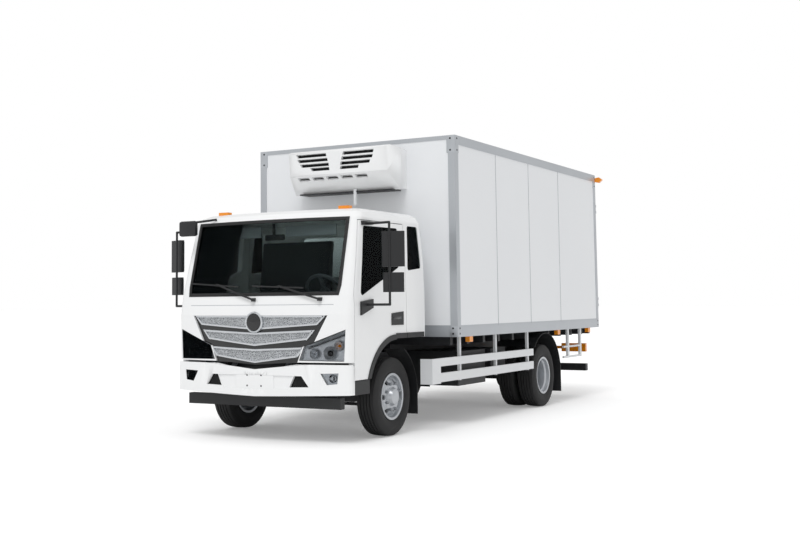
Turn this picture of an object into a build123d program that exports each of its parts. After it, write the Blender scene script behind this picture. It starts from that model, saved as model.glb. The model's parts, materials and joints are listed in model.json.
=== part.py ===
"""Box truck: forward tilting cab, ladder frame, twin rear wheels and an insulated
box body with a cooling unit on its front wall.

Millimetres. The truck faces -Y, its left side is +X, up is +Z. The origin lies on
the ground below the centre of the truck's box.
"""
import os
from functools import lru_cache
from math import cos, radians, sin, sqrt

from build123d import *

os.makedirs("parts", exist_ok=True)

# Driving dimensions
WHEELBASE = 3735
FRONT_OVERHANG = 1035          # front axle to the bumper's nose
BOX_SETBACK = 945              # front axle to the front wall of the box
BOX_LENGTH = 4830
REAR_PROUD = 60                # what stands behind the rear face of the box
LENGTH = FRONT_OVERHANG + BOX_SETBACK + BOX_LENGTH + REAR_PROUD

TYRE_R = 398.5                 # 235/75 R17.5 tyre
TYRE_W = 235
RIM_R = 235                    # rim flange
RIM_HALF = 101                 # half the rim's width over its flanges
BEAD_R = 222
TWIN_PITCH = 265               # between the centre planes of twin wheels
FRONT_OUTER_X = 1005           # outer face of a front tyre
REAR_OUTER_X = 1215            # outer face of a rear tyre

# Places along the truck
NOSE_Y = -LENGTH / 2
AXLE_Y = NOSE_Y + FRONT_OVERHANG
REAR_AXLE_Y = AXLE_Y + WHEELBASE
BOX_Y0 = AXLE_Y + BOX_SETBACK
BOX_Y1 = BOX_Y0 + BOX_LENGTH
REAR_END = BOX_Y1 + REAR_PROUD
AXLE_Z = TYRE_R

# Box body
BOX_HALF = 1290
BOX_Z0 = 971
BOX_Z1 = 3176
RAIL_T = 6                     # thickness of the aluminium edge rails
SILL_H = 109
TOP_RAIL_H = 100
FRONT_RAIL_H = 45
POST_W = 85
WALL_T = 85                    # insulated walls
FLOOR_T = 130
ROOF_T = 90

# Cargo doors
DOOR_T = 83
DOOR_PROUD = 3
DOOR_GAP = 5
DOOR_TOP = BOX_Z1 - TOP_RAIL_H - 26
HINGE_X = BOX_HALF - 22
HINGE_Y = BOX_Y1 + 36
PIN_R = 11
CARGO_HINGES_Z = (1336, 2683)

# Ladder frame
FRAME_HALF = 425
RAIL_W = 70
RAIL_H = 210
RAIL_WEB = 8
FRAME_TOP = 800
FRAME_Y0 = AXLE_Y - 880
FRAME_Y1 = BOX_Y1 - 60

# Cab
CAB_WALL = 70
DOOR_SEAM = 8                  # gap round a cab door
CAB_CROWN = 110                # bow of the cab's front, centre to corner
CAB_CORNER_R = 95
CAB_REAR_R = 60
UNDER_Z = 985                  # underside of the rear floor
PANEL_Z = 780                  # lower edge of the front panel
STEP_Z = 611                   # lower edge of the doors
ARCH_R = 575
FLOOR_SKIN = 40
ROOF_SEAM_Z = 2165
BACK_SEAM_Y = AXLE_Y + 620
DOOR_Y0 = AXLE_Y - 838
DOOR_Y1 = AXLE_Y + 226
DOOR_TOP_Y0 = AXLE_Y - 665     # front edge of the door at its top
BELT_Z = 1430
TILT_Y = AXLE_Y - 960
TILT_Z = 680
FIT = 0.3                      # running gap between curved faces

# Cab sections: height, front face at the centre line, half width, rear face, then how
# far the outline and the height move for each millimetre of inset
CAB_SECTIONS = (
    (STEP_Z - 20, -1022, 1036, 700, 1.0, 0.0),
    (1240, -1025, 1040, 700, 1.0, 0.0),
    (BELT_Z, -990, 1040, 700, 1.0, 0.0),
    (1800, -893, 1026, 700, 1.0, 0.0),
    (2190, -790, 1003, 655, 0.99, 0.25),
    (2250, -738, 975, 640, 0.78, 0.69),
    (2284, -650, 920, 600, 0.28, 1.0),
)

# Steering
KINGPIN_X = 790
ARM_Y = 130                    # length of a steering arm
TIE_ROD_Z = 295

# Bumper and front underrun bar
BUMPER_TOP = 760
BUMPER_BOTTOM = 455
BUMPER_HALF = 1040

# Mirrors
MIRROR_X = 1325
MIRROR_Y = AXLE_Y - 577
MIRROR_TURN = 25

SIDES = (("left", 1), ("right", -1))


# Helpers: all work in the part that is being built
def block(x0, x1, y0, y1, z0, z1, mode=Mode.ADD):
    """A box between two corners."""
    low_x, high_x = min(x0, x1), max(x0, x1)
    with Locations(((low_x + high_x) / 2, (y0 + y1) / 2, (z0 + z1) / 2)):
        Box(high_x - low_x, y1 - y0, z1 - z0, mode=mode)


def outline(plane, points, radius=0):
    """A closed outline as a face on a plane, its corners rounded by radius."""
    with BuildSketch(plane) as sketch:
        with BuildLine():
            if radius:
                FilletPolyline(*points, radius=radius, close=True)
            else:
                Polyline(*points, close=True)
        make_face()
    return sketch.sketch


def prism_x(points, x0, x1, radius=0, mode=Mode.ADD):
    """A side-view outline of (y, z) points, extruded across the truck."""
    low_x, high_x = min(x0, x1), max(x0, x1)
    extrude(outline(Plane.YZ.offset(low_x), points, radius), amount=high_x - low_x, mode=mode)


def prism_y(points, y0, y1, radius=0, mode=Mode.ADD):
    """A front-view outline of (x, z) points, extruded along the truck."""
    extrude(outline(Plane.XZ.offset(-y1), points, radius), amount=y1 - y0, mode=mode)


def prism_z(points, z0, z1, radius=0, mode=Mode.ADD):
    """A plan-view outline of (x, y) points, extruded upwards."""
    extrude(outline(Plane.XY.offset(z0), points, radius), amount=z1 - z0, mode=mode)


def rod(start, end, radius, mode=Mode.ADD):
    """A round bar between two points."""
    way = Vector(*end) - Vector(*start)
    with BuildSketch(Plane(origin=start, z_dir=way)) as disc:
        Circle(radius)
    extrude(disc.sketch, amount=way.length, mode=mode)


def drum_x(x0, x1, y, z, radius, mode=Mode.ADD):
    """A cylinder whose axis runs across the truck."""
    rod((min(x0, x1), y, z), (max(x0, x1), y, z), radius, mode)


def save(piece, label):
    """Labels a finished piece and writes its STEP file."""
    piece.part.label = label
    export_step(piece.part, "parts/" + label + ".step")


def save_pair(piece, stem):
    """Writes a piece of the left side and its mirror image on the right."""
    save(piece, stem + "_left")
    with BuildPart() as other:
        mirror(piece.part, about=Plane.YZ)
    save(other, stem + "_right")


# Cab form
@lru_cache
def cab_form(inset=0.0):
    """The cab's closed outer form, with every face moved inwards by inset."""
    corner = max(CAB_CORNER_R - inset, 30)
    rear = max(CAB_REAR_R - inset, 12)
    with BuildPart() as form:
        for z, front, half, back, inward, downward in CAB_SECTIONS:
            level = z - inset * downward
            width = half - inset * inward
            y0 = AXLE_Y + front + inset * inward
            y1 = AXLE_Y + back - inset * inward
            with BuildSketch(Plane.XY.offset(level)) as section:
                with BuildLine():
                    ThreePointArc((-width, y0 + CAB_CROWN), (0, y0), (width, y0 + CAB_CROWN))
                    Polyline((width, y0 + CAB_CROWN), (width, y1), (-width, y1), (-width, y0 + CAB_CROWN))
                make_face()
                corners = section.vertices().group_by(Axis.Y)
                fillet(corners[-1], rear)
                fillet(section.vertices().group_by(Axis.Y)[0], corner)
        loft(ruled=True)
    return form.part


CAB_OUTER = cab_form()
CAB_INNER = cab_form(CAB_WALL)


def cab_underside(lift=0.0):
    """Everything below the cab's bottom line, raised by lift."""
    far = 2 * BOX_HALF
    with BuildPart() as under:
        prism_x(
            [
                (AXLE_Y - 1300, 0),
                (AXLE_Y - 1300, PANEL_Z + lift),
                (DOOR_Y0 + 5 + lift, PANEL_Z + lift),
                (DOOR_Y0 + 5 + lift, STEP_Z + lift),
                (AXLE_Y, STEP_Z + lift),
                (AXLE_Y, UNDER_Z + lift),
                (AXLE_Y + 900, UNDER_Z + lift),
                (AXLE_Y + 900, 0),
            ],
            -far,
            far,
        )
        drum_x(-far, far, AXLE_Y, AXLE_Z, ARCH_R + lift)
    return under.part


UNDER = cab_underside()


def cab_shell():
    """The hollow cab, cut off along its bottom line."""
    with BuildPart() as shell:
        add(CAB_OUTER)
        add(CAB_INNER, mode=Mode.SUBTRACT)
        add(UNDER, mode=Mode.SUBTRACT)
    return shell.part


CAB_SHELL = cab_shell()


def front_skin(depth0, depth1, points, radius=0):
    """A slab that follows the cab's front between two depths, inside an outline."""
    with BuildPart() as slab:
        add(cab_form(depth0))
        prism_y(points, AXLE_Y - 1300, AXLE_Y - 560, radius, mode=Mode.INTERSECT)
        add(cab_form(depth1), mode=Mode.SUBTRACT)
    return slab.part


# Front view outlines of the cab's face
WINDSCREEN = [(-890, 1436), (890, 1436), (905, 1520), (900, 2180), (-900, 2180), (-905, 1520)]
HEADLAMP = [(560, 938), (503, 796), (970, 792), (985, 1096)]
GRILLE_RIGHT = [(806, 1232), (668, 978), (545, 930), (484, 772), (330, 770), (0, 748)]
GRILLE = GRILLE_RIGHT + [(-x, z) for x, z in reversed(GRILLE_RIGHT[:-1])]


def grow(points, step):
    """Moves a convex outline's points outwards from its middle by about step."""
    middle_a = sum(a for a, b in points) / len(points)
    middle_b = sum(b for a, b in points) / len(points)
    grown = []
    for a, b in points:
        reach = sqrt((a - middle_a) ** 2 + (b - middle_b) ** 2)
        grown.append((a + (a - middle_a) * step / reach, b + (b - middle_b) * step / reach))
    return grown


# Cab panels
FRONT_CUT = [
    (AXLE_Y - 1300, PANEL_Z - 60),
    (DOOR_Y0 - DOOR_SEAM, PANEL_Z - 60),
    (DOOR_Y0 - DOOR_SEAM, BELT_Z),
    (DOOR_TOP_Y0 - DOOR_SEAM, ROOF_SEAM_Z),
    (AXLE_Y - 1300, ROOF_SEAM_Z),
]
DOOR_OUTLINE = [
    (DOOR_Y0, STEP_Z),
    (DOOR_Y0, BELT_Z),
    (DOOR_TOP_Y0, ROOF_SEAM_Z - DOOR_SEAM),
    (DOOR_Y1, ROOF_SEAM_Z - DOOR_SEAM),
    (DOOR_Y1, STEP_Z),
]
DOOR_WINDOW = [
    (DOOR_Y0 + 109, 1401),
    (DOOR_TOP_Y0 + 57, 2105),
    (DOOR_Y1 - 114, 2112),
    (DOOR_Y1 - 122, 1712),
]
QUARTER_WINDOW = [
    (DOOR_Y1 + 56, 1680),
    (DOOR_Y1 + 100, 2150),
    (BACK_SEAM_Y - 62, 2150),
    (BACK_SEAM_Y - 24, 1710),
]
BACK_CUT = [
    (BACK_SEAM_Y, 0),
    (BACK_SEAM_Y, 1800),
    (BACK_SEAM_Y - 42, ROOF_SEAM_Z),
    (AXLE_Y + 900, ROOF_SEAM_Z),
    (AXLE_Y + 900, 0),
]
REAR_WINDOW = [(-520, 1640), (520, 1640), (500, 2080), (-500, 2080)]
LAMP_DEPTH = 55

with BuildPart() as cab_front:
    add(CAB_SHELL)
    prism_x(FRONT_CUT, -2 * BOX_HALF, 2 * BOX_HALF, mode=Mode.INTERSECT)
    prism_y(WINDSCREEN, AXLE_Y - 1300, AXLE_Y - 560, 40, mode=Mode.SUBTRACT)
    lamp_pocket = front_skin(-20, LAMP_DEPTH, HEADLAMP)
    add(lamp_pocket, mode=Mode.SUBTRACT)
    mirror(lamp_pocket, about=Plane.YZ, mode=Mode.SUBTRACT)
    add(front_skin(-20, LAMP_DEPTH, GRILLE), mode=Mode.SUBTRACT)
save(cab_front, "cab_front")

with BuildPart() as cab_side:
    add(CAB_SHELL)
    block(0, 2 * BOX_HALF, DOOR_Y1 + DOOR_SEAM, AXLE_Y + 900, 0, ROOF_SEAM_Z, mode=Mode.INTERSECT)
    prism_x(BACK_CUT, -2 * BOX_HALF, 2 * BOX_HALF, mode=Mode.SUBTRACT)
    prism_x(QUARTER_WINDOW, 0, 2 * BOX_HALF, 30, mode=Mode.SUBTRACT)
save_pair(cab_side, "cab_side")

with BuildPart() as cab_back:
    add(CAB_SHELL)
    prism_x(BACK_CUT, -2 * BOX_HALF, 2 * BOX_HALF, mode=Mode.INTERSECT)
    prism_y(REAR_WINDOW, AXLE_Y + 400, AXLE_Y + 900, 50, mode=Mode.SUBTRACT)
save(cab_back, "cab_back")

with BuildPart() as cab_roof:
    add(CAB_SHELL)
    block(-2 * BOX_HALF, 2 * BOX_HALF, AXLE_Y - 1300, AXLE_Y + 900, ROOF_SEAM_Z, BOX_Z1, mode=Mode.INTERSECT)
    prism_y(WINDSCREEN, AXLE_Y - 1300, AXLE_Y - 560, 40, mode=Mode.SUBTRACT)
save(cab_roof, "cab_roof")

# Floor pan with footwells, wheel housings and the seat boxes
SEAT_Z = 1330
DRIVER_X = 490
PASSENGER_X = -340
SEAT_ROWS = ((DRIVER_X, 250), (PASSENGER_X, 480))   # middle of a seat, half its width
FLOOR_Z = 860                  # underside of the front floor, over the frame
WELL_X = 640                   # inner side of the step wells
LUG_X0 = 300                   # tilt lugs, inside the frame's brackets
LUG_X1 = 345
TILT_PIN_R = 12
DOOR_CLEAR = 12                # floor pan to the inside of a closed door
with BuildPart() as cab_floor:
    add(cab_form(CAB_WALL + FIT))
    add(UNDER, mode=Mode.SUBTRACT)
    block(-2 * BOX_HALF, 2 * BOX_HALF, AXLE_Y - 1300, AXLE_Y + 900, 0, UNDER_Z + FLOOR_SKIN, mode=Mode.INTERSECT)
    block(
        -CAB_SECTIONS[0][2],
        CAB_SECTIONS[0][2],
        AXLE_Y - 1300,
        AXLE_Y - 560,
        STEP_Z + FLOOR_SKIN,
        BOX_Z1,
        mode=Mode.SUBTRACT,
    )
    block(-WELL_X, WELL_X, AXLE_Y - 1300, AXLE_Y + 900, 0, BOX_Z1, mode=Mode.SUBTRACT)
    middle_floor = outline(
        Plane.YZ.offset(-WELL_X - FLOOR_SKIN),
        [
            (AXLE_Y - 1300, FLOOR_Z),
            (AXLE_Y - 460, FLOOR_Z),
            (AXLE_Y - 460, UNDER_Z),
            (AXLE_Y + 900, UNDER_Z),
            (AXLE_Y + 900, UNDER_Z + FLOOR_SKIN),
            (AXLE_Y - 500, UNDER_Z + FLOOR_SKIN),
            (AXLE_Y - 500, FLOOR_Z + FLOOR_SKIN),
            (AXLE_Y - 1300, FLOOR_Z + FLOOR_SKIN),
        ],
    )
    with BuildPart(mode=Mode.PRIVATE) as middle:
        add(cab_form(CAB_WALL + FIT))
        extrude(middle_floor, amount=2 * (WELL_X + FLOOR_SKIN), mode=Mode.INTERSECT)
    add(middle.part)
    for _, side in SIDES:
        block(
            side * WELL_X,
            side * (WELL_X + FLOOR_SKIN),
            DOOR_Y0 + 20,
            AXLE_Y - 520,
            STEP_Z,
            FLOOR_Z + FLOOR_SKIN,
        )
        prism_x(
            [
                (TILT_Y - 19, TILT_Z),
                (TILT_Y + 15, TILT_Z + 48),
                (TILT_Y + 45, TILT_Z + 80),
                (TILT_Y + 45, FLOOR_Z + 20),
                (TILT_Y + 130, FLOOR_Z + 20),
                (TILT_Y + 130, TILT_Z + 140),
                (TILT_Y + 19, TILT_Z),
            ],
            side * LUG_X0,
            side * LUG_X1,
        )
        drum_x(side * LUG_X0, side * LUG_X1, TILT_Y, TILT_Z, 19)
        drum_x(side * LUG_X0, side * (FRAME_HALF + 12), TILT_Y, TILT_Z, TILT_PIN_R)
    for middle_x, half in SEAT_ROWS:
        block(
            middle_x - half + 20,
            middle_x + half - 20,
            AXLE_Y - 330,
            AXLE_Y + 180,
            UNDER_Z + FLOOR_SKIN,
            SEAT_Z,
        )
    for _, side in SIDES:
        block(
            side * (CAB_SECTIONS[0][2] - CAB_WALL - DOOR_CLEAR),
            side * 2 * BOX_HALF,
            AXLE_Y - 900,
            DOOR_Y1 + DOOR_SEAM,
            0,
            BOX_Z1,
            mode=Mode.SUBTRACT,
        )
save(cab_floor, "cab_floor")

# Glass: sheets that sit in the cab's openings
GLASS_T = 8
GLASS_SINK = 6


def side_pane(points, radius):
    """A sheet of glass that follows the cab's left side inside a side-view outline."""
    with BuildPart() as pane:
        add(cab_form(GLASS_SINK))
        prism_x(points, 400, 2 * BOX_HALF, radius, mode=Mode.INTERSECT)
        add(cab_form(GLASS_SINK + GLASS_T), mode=Mode.SUBTRACT)
    return pane.part


def rear_pane():
    """The sheet of glass in the cab's rear wall."""
    with BuildPart() as pane:
        add(cab_form(GLASS_SINK))
        prism_y(grow(REAR_WINDOW, -1), AXLE_Y + 560, AXLE_Y + 900, 49, mode=Mode.INTERSECT)
        add(cab_form(GLASS_SINK + GLASS_T), mode=Mode.SUBTRACT)
    return pane.part


with BuildPart() as cab_glass:
    quarter_pane = side_pane(grow(QUARTER_WINDOW, -1), 29)
    add(front_skin(GLASS_SINK, GLASS_SINK + GLASS_T, grow(WINDSCREEN, -2), 38))
    add(quarter_pane)
    mirror(quarter_pane, about=Plane.YZ)
    add(rear_pane())
save(cab_glass, "cab_glass")

# Cab doors, each with its window cut, and their glass
DOOR_ARCH_R = ARCH_R + 8
with BuildPart() as door:
    add(CAB_OUTER)
    prism_x(DOOR_OUTLINE, 400, 2 * BOX_HALF, mode=Mode.INTERSECT)
    add(CAB_INNER, mode=Mode.SUBTRACT)
    with Locations((0, -CAB_CROWN, 0)):
        add(CAB_INNER, mode=Mode.SUBTRACT)
    prism_x(DOOR_WINDOW, 400, 2 * BOX_HALF, 35, mode=Mode.SUBTRACT)
    drum_x(400, 2 * BOX_HALF, AXLE_Y, AXLE_Z, DOOR_ARCH_R, mode=Mode.SUBTRACT)
    block(400, 2 * BOX_HALF, AXLE_Y, DOOR_Y1 + 10, STEP_Z - 10, UNDER_Z, mode=Mode.SUBTRACT)
save_pair(door, "door")

with BuildPart() as door_glass:
    add(side_pane(grow(DOOR_WINDOW, -1), 34))
save_pair(door_glass, "door_glass")

# Black parts on the doors: arch trim, handle and mirrors
TRIM_R = 628
TRIM_PROUD = 10
HANDLE_Y = AXLE_Y + 28
HANDLE_Z = 1185


def side_skin(proud, points):
    """A skin on the cab's left side, proud of it, inside a side-view outline."""
    with BuildPart() as skin:
        add(cab_form(-proud))
        prism_x(points, 700, 2 * BOX_HALF, mode=Mode.INTERSECT)
        add(cab_form(-FIT), mode=Mode.SUBTRACT)
    return skin.part


def arch_trim(y0, y1):
    """The part of the left wheel arch's trim between two places along the truck."""
    with BuildPart(mode=Mode.PRIVATE) as zone:
        drum_x(700, 2 * BOX_HALF, AXLE_Y, AXLE_Z, TRIM_R)
        block(700, 2 * BOX_HALF, AXLE_Y, AXLE_Y + 900, UNDER_Z - 100, UNDER_Z + TRIM_R - ARCH_R)
    with BuildPart() as trim:
        add(side_skin(TRIM_PROUD, [(y0, STEP_Z), (y0, UNDER_Z + 55), (y1, UNDER_Z + 55), (y1, STEP_Z)]))
        add(zone.part, mode=Mode.INTERSECT)
        drum_x(700, 2 * BOX_HALF, AXLE_Y, AXLE_Z, ARCH_R, mode=Mode.SUBTRACT)
        block(700, 2 * BOX_HALF, AXLE_Y, AXLE_Y + 900, 0, UNDER_Z, mode=Mode.SUBTRACT)
    return trim.part


# Mirror heads: width, depth, height, height of the middle
MIRROR_HEADS = ((222, 60, 344, 1867), (205, 56, 190, 1544))
MIRROR_ARM_R = 12
MIRROR_TOP_Z = 2125
MIRROR_FOOT_Z = 1330
MIRROR_BASE = [(-640, 2108), (-640, 2150), (-440, 2150), (-440, 2120)]
MIRROR_FOOT = [(-735, 1228), (-735, 1360), (-500, 1385), (-500, 1300)]


def mirror_set():
    """Both mirror heads of the left side on their bow of round tube."""
    x_bow = MIRROR_X - 20
    y_bow = MIRROR_Y - 42
    with BuildPart() as arms:
        add(side_skin(26, [(AXLE_Y + y, z) for y, z in MIRROR_BASE]))
        add(side_skin(20, [(AXLE_Y + y, z) for y, z in MIRROR_FOOT]))
        rod((1018, y_bow + 60, MIRROR_TOP_Z), (x_bow, y_bow, MIRROR_TOP_Z), MIRROR_ARM_R)
        rod((x_bow, y_bow, MIRROR_FOOT_Z), (x_bow, y_bow, MIRROR_TOP_Z), MIRROR_ARM_R)
        rod((1050, y_bow, MIRROR_FOOT_Z), (x_bow, y_bow, MIRROR_FOOT_Z), MIRROR_ARM_R)
        for z in (MIRROR_FOOT_Z, MIRROR_TOP_Z):
            with Locations((x_bow, y_bow, z)):
                Sphere(MIRROR_ARM_R)
        for width, depth, height, middle in MIRROR_HEADS:
            turned = Plane(
                origin=(MIRROR_X, MIRROR_Y, middle - height / 2),
                x_dir=(cos(radians(MIRROR_TURN)), sin(radians(MIRROR_TURN)), 0),
                z_dir=(0, 0, 1),
            )
            with BuildSketch(turned) as head:
                RectangleRounded(width, depth, 24)
            extrude(head.sketch, amount=height)
    return arms.part


HANDLE_PLATE = [(-128, -65), (-128, 55), (128, 72), (128, -65)]
with BuildPart() as door_fittings:
    add(arch_trim(DOOR_Y0, DOOR_Y1))
    add(side_skin(8, [(HANDLE_Y + y, HANDLE_Z + z) for y, z in HANDLE_PLATE]))
    add(mirror_set())
save_pair(door_fittings, "door_fittings")

# Grille, lamps and the face of the cab
with BuildPart() as grille:
    add(front_skin(20, LAMP_DEPTH - FIT, grow(GRILLE, -2)))
save(grille, "grille")

with BuildPart() as headlamps:
    add(front_skin(FIT, LAMP_DEPTH - FIT, grow(HEADLAMP, -3)))
    mirror(about=Plane.YZ)
save(headlamps, "headlamps")

# Black trim on the cab below and behind its doors
STEP_BOTTOM = 471
with BuildPart() as cab_trim:
    add(arch_trim(DOOR_Y1 + DOOR_SEAM, BACK_SEAM_Y))
    block(BUMPER_HALF - 60, BUMPER_HALF, DOOR_Y0, AXLE_Y - 560, STEP_BOTTOM, STEP_Z - DOOR_SEAM)
    block(BUMPER_HALF - 340, BUMPER_HALF - 60, DOOR_Y0 + 15, AXLE_Y - 560, STEP_BOTTOM + 20, STEP_Z - 60)
    block(
        BUMPER_HALF - 340,
        BUMPER_HALF - 300,
        DOOR_Y0 + 15,
        AXLE_Y - 560,
        STEP_BOTTOM + 20,
        STEP_Z - FIT,
    )
    mirror(about=Plane.YZ)
save(cab_trim, "cab_trim")

# Dashboard with the steering wheel
WHEEL_TILT = 35
with BuildPart() as dashboard:
    prism_x(
        [
            (AXLE_Y - 880, 1100),
            (AXLE_Y - 880, 1400),
            (AXLE_Y - 800, 1432),
            (AXLE_Y - 640, 1420),
            (AXLE_Y - 590, 1340),
            (AXLE_Y - 620, 1100),
        ],
        -930,
        930,
    )
    add(cab_form(CAB_WALL + 15), mode=Mode.INTERSECT)
    rod((DRIVER_X, AXLE_Y - 640, 1330), (DRIVER_X, AXLE_Y - 480, 1445), 30)
    column = Plane(
        origin=(DRIVER_X, AXLE_Y - 480, 1445),
        x_dir=(1, 0, 0),
        z_dir=(0, cos(radians(WHEEL_TILT)), sin(radians(WHEEL_TILT))),
    )
    with BuildSketch(column) as hub:
        Circle(65)
        Rectangle(430, 34)
        with Locations((0, -105)):
            Rectangle(34, 210)
    extrude(hub.sketch, amount=24)
    with BuildSketch(column.offset(12)) as rim:
        Circle(225)
        Circle(198, mode=Mode.SUBTRACT)
    extrude(rim.sketch, amount=13, both=True)
save(dashboard, "dashboard")

# Seats: a cushion and a back with its head restraint in each place
SEAT_GAP = 0.5
with BuildPart() as seats:
    for middle, half in SEAT_ROWS:
        block(middle - half, middle + half, AXLE_Y - 360, AXLE_Y + 165, SEAT_Z + SEAT_GAP, SEAT_Z + 130)
        prism_x(
            [
                (AXLE_Y + 165.3, SEAT_Z + 40),
                (AXLE_Y + 165.3, SEAT_Z + 140),
                (AXLE_Y + 270, SEAT_Z + 720),
                (AXLE_Y + 360, SEAT_Z + 720),
                (AXLE_Y + 300, SEAT_Z + 40),
            ],
            middle - half + 10,
            middle + half - 10,
        )
save(seats, "seats")

# Wipers: pivot, joint of arm and blade, and both ends of the blade, as (x, z)
WIPERS = (
    ((-17, 1387), (-512, 1548), (-873, 1560), (-234, 1519)),
    ((723, 1388), (259, 1522), (-58, 1524), (532, 1498)),
)
ARM_FRONT = 32                 # how far the arms stand in front of the face
ARM_BACK = 22
BLADE_FRONT = 12


def bar_outline(start, end, half):
    """The four corners of a straight bar between two points, half wide on each side."""
    along_x = end[0] - start[0]
    along_z = end[1] - start[1]
    reach = sqrt(along_x**2 + along_z**2)
    x = -along_z / reach * half
    z = along_x / reach * half
    return [
        (start[0] + x, start[1] + z),
        (end[0] + x, end[1] + z),
        (end[0] - x, end[1] - z),
        (start[0] - x, start[1] - z),
    ]


def square_outline(middle, half):
    """A square round a point of the front view."""
    x, z = middle
    return [(x - half, z - half), (x + half, z - half), (x + half, z + half), (x - half, z + half)]


with BuildPart() as wipers:
    for pivot, elbow, blade0, blade1 in WIPERS:
        add(front_skin(-ARM_FRONT - 2, -FIT, square_outline(pivot, 17)))
        add(front_skin(-ARM_FRONT, -ARM_BACK, bar_outline(pivot, elbow, 9)))
        add(front_skin(-ARM_FRONT, GLASS_SINK - FIT, square_outline((elbow[0], elbow[1] - 8), 12)))
        add(front_skin(-BLADE_FRONT, GLASS_SINK - FIT, bar_outline(blade0, blade1, 7)))
save(wipers, "wipers")

with BuildPart() as roof_lamps:
    for _, side in SIDES:
        with Locations((side * 744, AXLE_Y - 500, CAB_SECTIONS[-1][0] + 18)):
            Box(120, 70, 36)
save(roof_lamps, "roof_lamps")

# Ladder frame: two channel rails, cross members and the cab's front brackets
CROSS_MEMBERS = (-820, 980, 1800, 2700, 3250, 4250, 4900, 5600)   # from the front axle
CROSS_R = 40
CROSS_Z = FRAME_TOP - 58
with BuildPart() as frame:
    for _, side in SIDES:
        block(side * FRAME_HALF, side * (FRAME_HALF - RAIL_WEB), FRAME_Y0, FRAME_Y1, FRAME_TOP - RAIL_H, FRAME_TOP)
        for z in (FRAME_TOP - RAIL_H, FRAME_TOP - RAIL_WEB):
            block(side * FRAME_HALF, side * (FRAME_HALF - RAIL_W), FRAME_Y0, FRAME_Y1, z, z + RAIL_WEB)
        block(side * (FRAME_HALF - 60), side * FRAME_HALF, TILT_Y - 19, FRAME_Y0, TILT_Z - 60, TILT_Z + 22)
    for place in CROSS_MEMBERS:
        drum_x(-FRAME_HALF, FRAME_HALF, AXLE_Y + place, CROSS_Z, CROSS_R)
    for _, side in SIDES:
        drum_x(side * (FRAME_HALF - 80), side * (FRAME_HALF + 20), TILT_Y, TILT_Z, TILT_PIN_R + 0.5, mode=Mode.SUBTRACT)
save(frame, "frame")

# Subframe of the box: two runners on the rails and bearers across them
BEARERS = (60, 500, 940, 1380, 1820, 2220, 3060, 3500, 3940, 4380, 4710)   # from the front wall
BEARER_H = 90
BEARER_HALF = BOX_HALF - 120
with BuildPart() as subframe:
    for _, side in SIDES:
        block(
            side * FRAME_HALF,
            side * (FRAME_HALF - RAIL_W),
            BOX_Y0 + 60,
            FRAME_Y1,
            FRAME_TOP,
            BOX_Z0 - BEARER_H,
        )
    for place in BEARERS:
        y = BOX_Y0 + place
        block(-BEARER_HALF, BEARER_HALF, y, y + 60, BOX_Z0 - BEARER_H, BOX_Z0)
save(subframe, "subframe")

# Box body: floor, walls and roof as insulated panels
PANEL_X = BOX_HALF - RAIL_T
PANEL_Y0 = BOX_Y0 + RAIL_T
PANEL_Y1 = BOX_Y1 - RAIL_T
FLOOR_TOP = BOX_Z0 + RAIL_T + FLOOR_T
ROOF_UNDER = BOX_Z1 - RAIL_T - ROOF_T
INNER_X = PANEL_X - WALL_T
WALL_FOOT = FLOOR_TOP - 10     # the walls stand in a rebate round the floor
with BuildPart() as box_floor:
    block(-PANEL_X, PANEL_X, PANEL_Y0, PANEL_Y1, BOX_Z0 + RAIL_T, WALL_FOOT)
    block(-INNER_X + FIT, INNER_X - FIT, PANEL_Y0 + WALL_T + FIT, PANEL_Y1, WALL_FOOT, FLOOR_TOP)
save(box_floor, "box_floor")

with BuildPart() as box_roof:
    block(-PANEL_X, PANEL_X, PANEL_Y0, PANEL_Y1, ROOF_UNDER, BOX_Z1 - RAIL_T)
    block(-INNER_X, INNER_X, PANEL_Y1 - 60, PANEL_Y1, DOOR_TOP + DOOR_GAP, ROOF_UNDER)
save(box_roof, "box_roof")

with BuildPart() as box_front_wall:
    block(-INNER_X, INNER_X, PANEL_Y0, PANEL_Y0 + WALL_T, WALL_FOOT, ROOF_UNDER)
save(box_front_wall, "box_front_wall")

with BuildPart() as box_side:
    block(INNER_X, PANEL_X, PANEL_Y0, PANEL_Y1, WALL_FOOT, ROOF_UNDER)
save_pair(box_side, "box_side")

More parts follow.
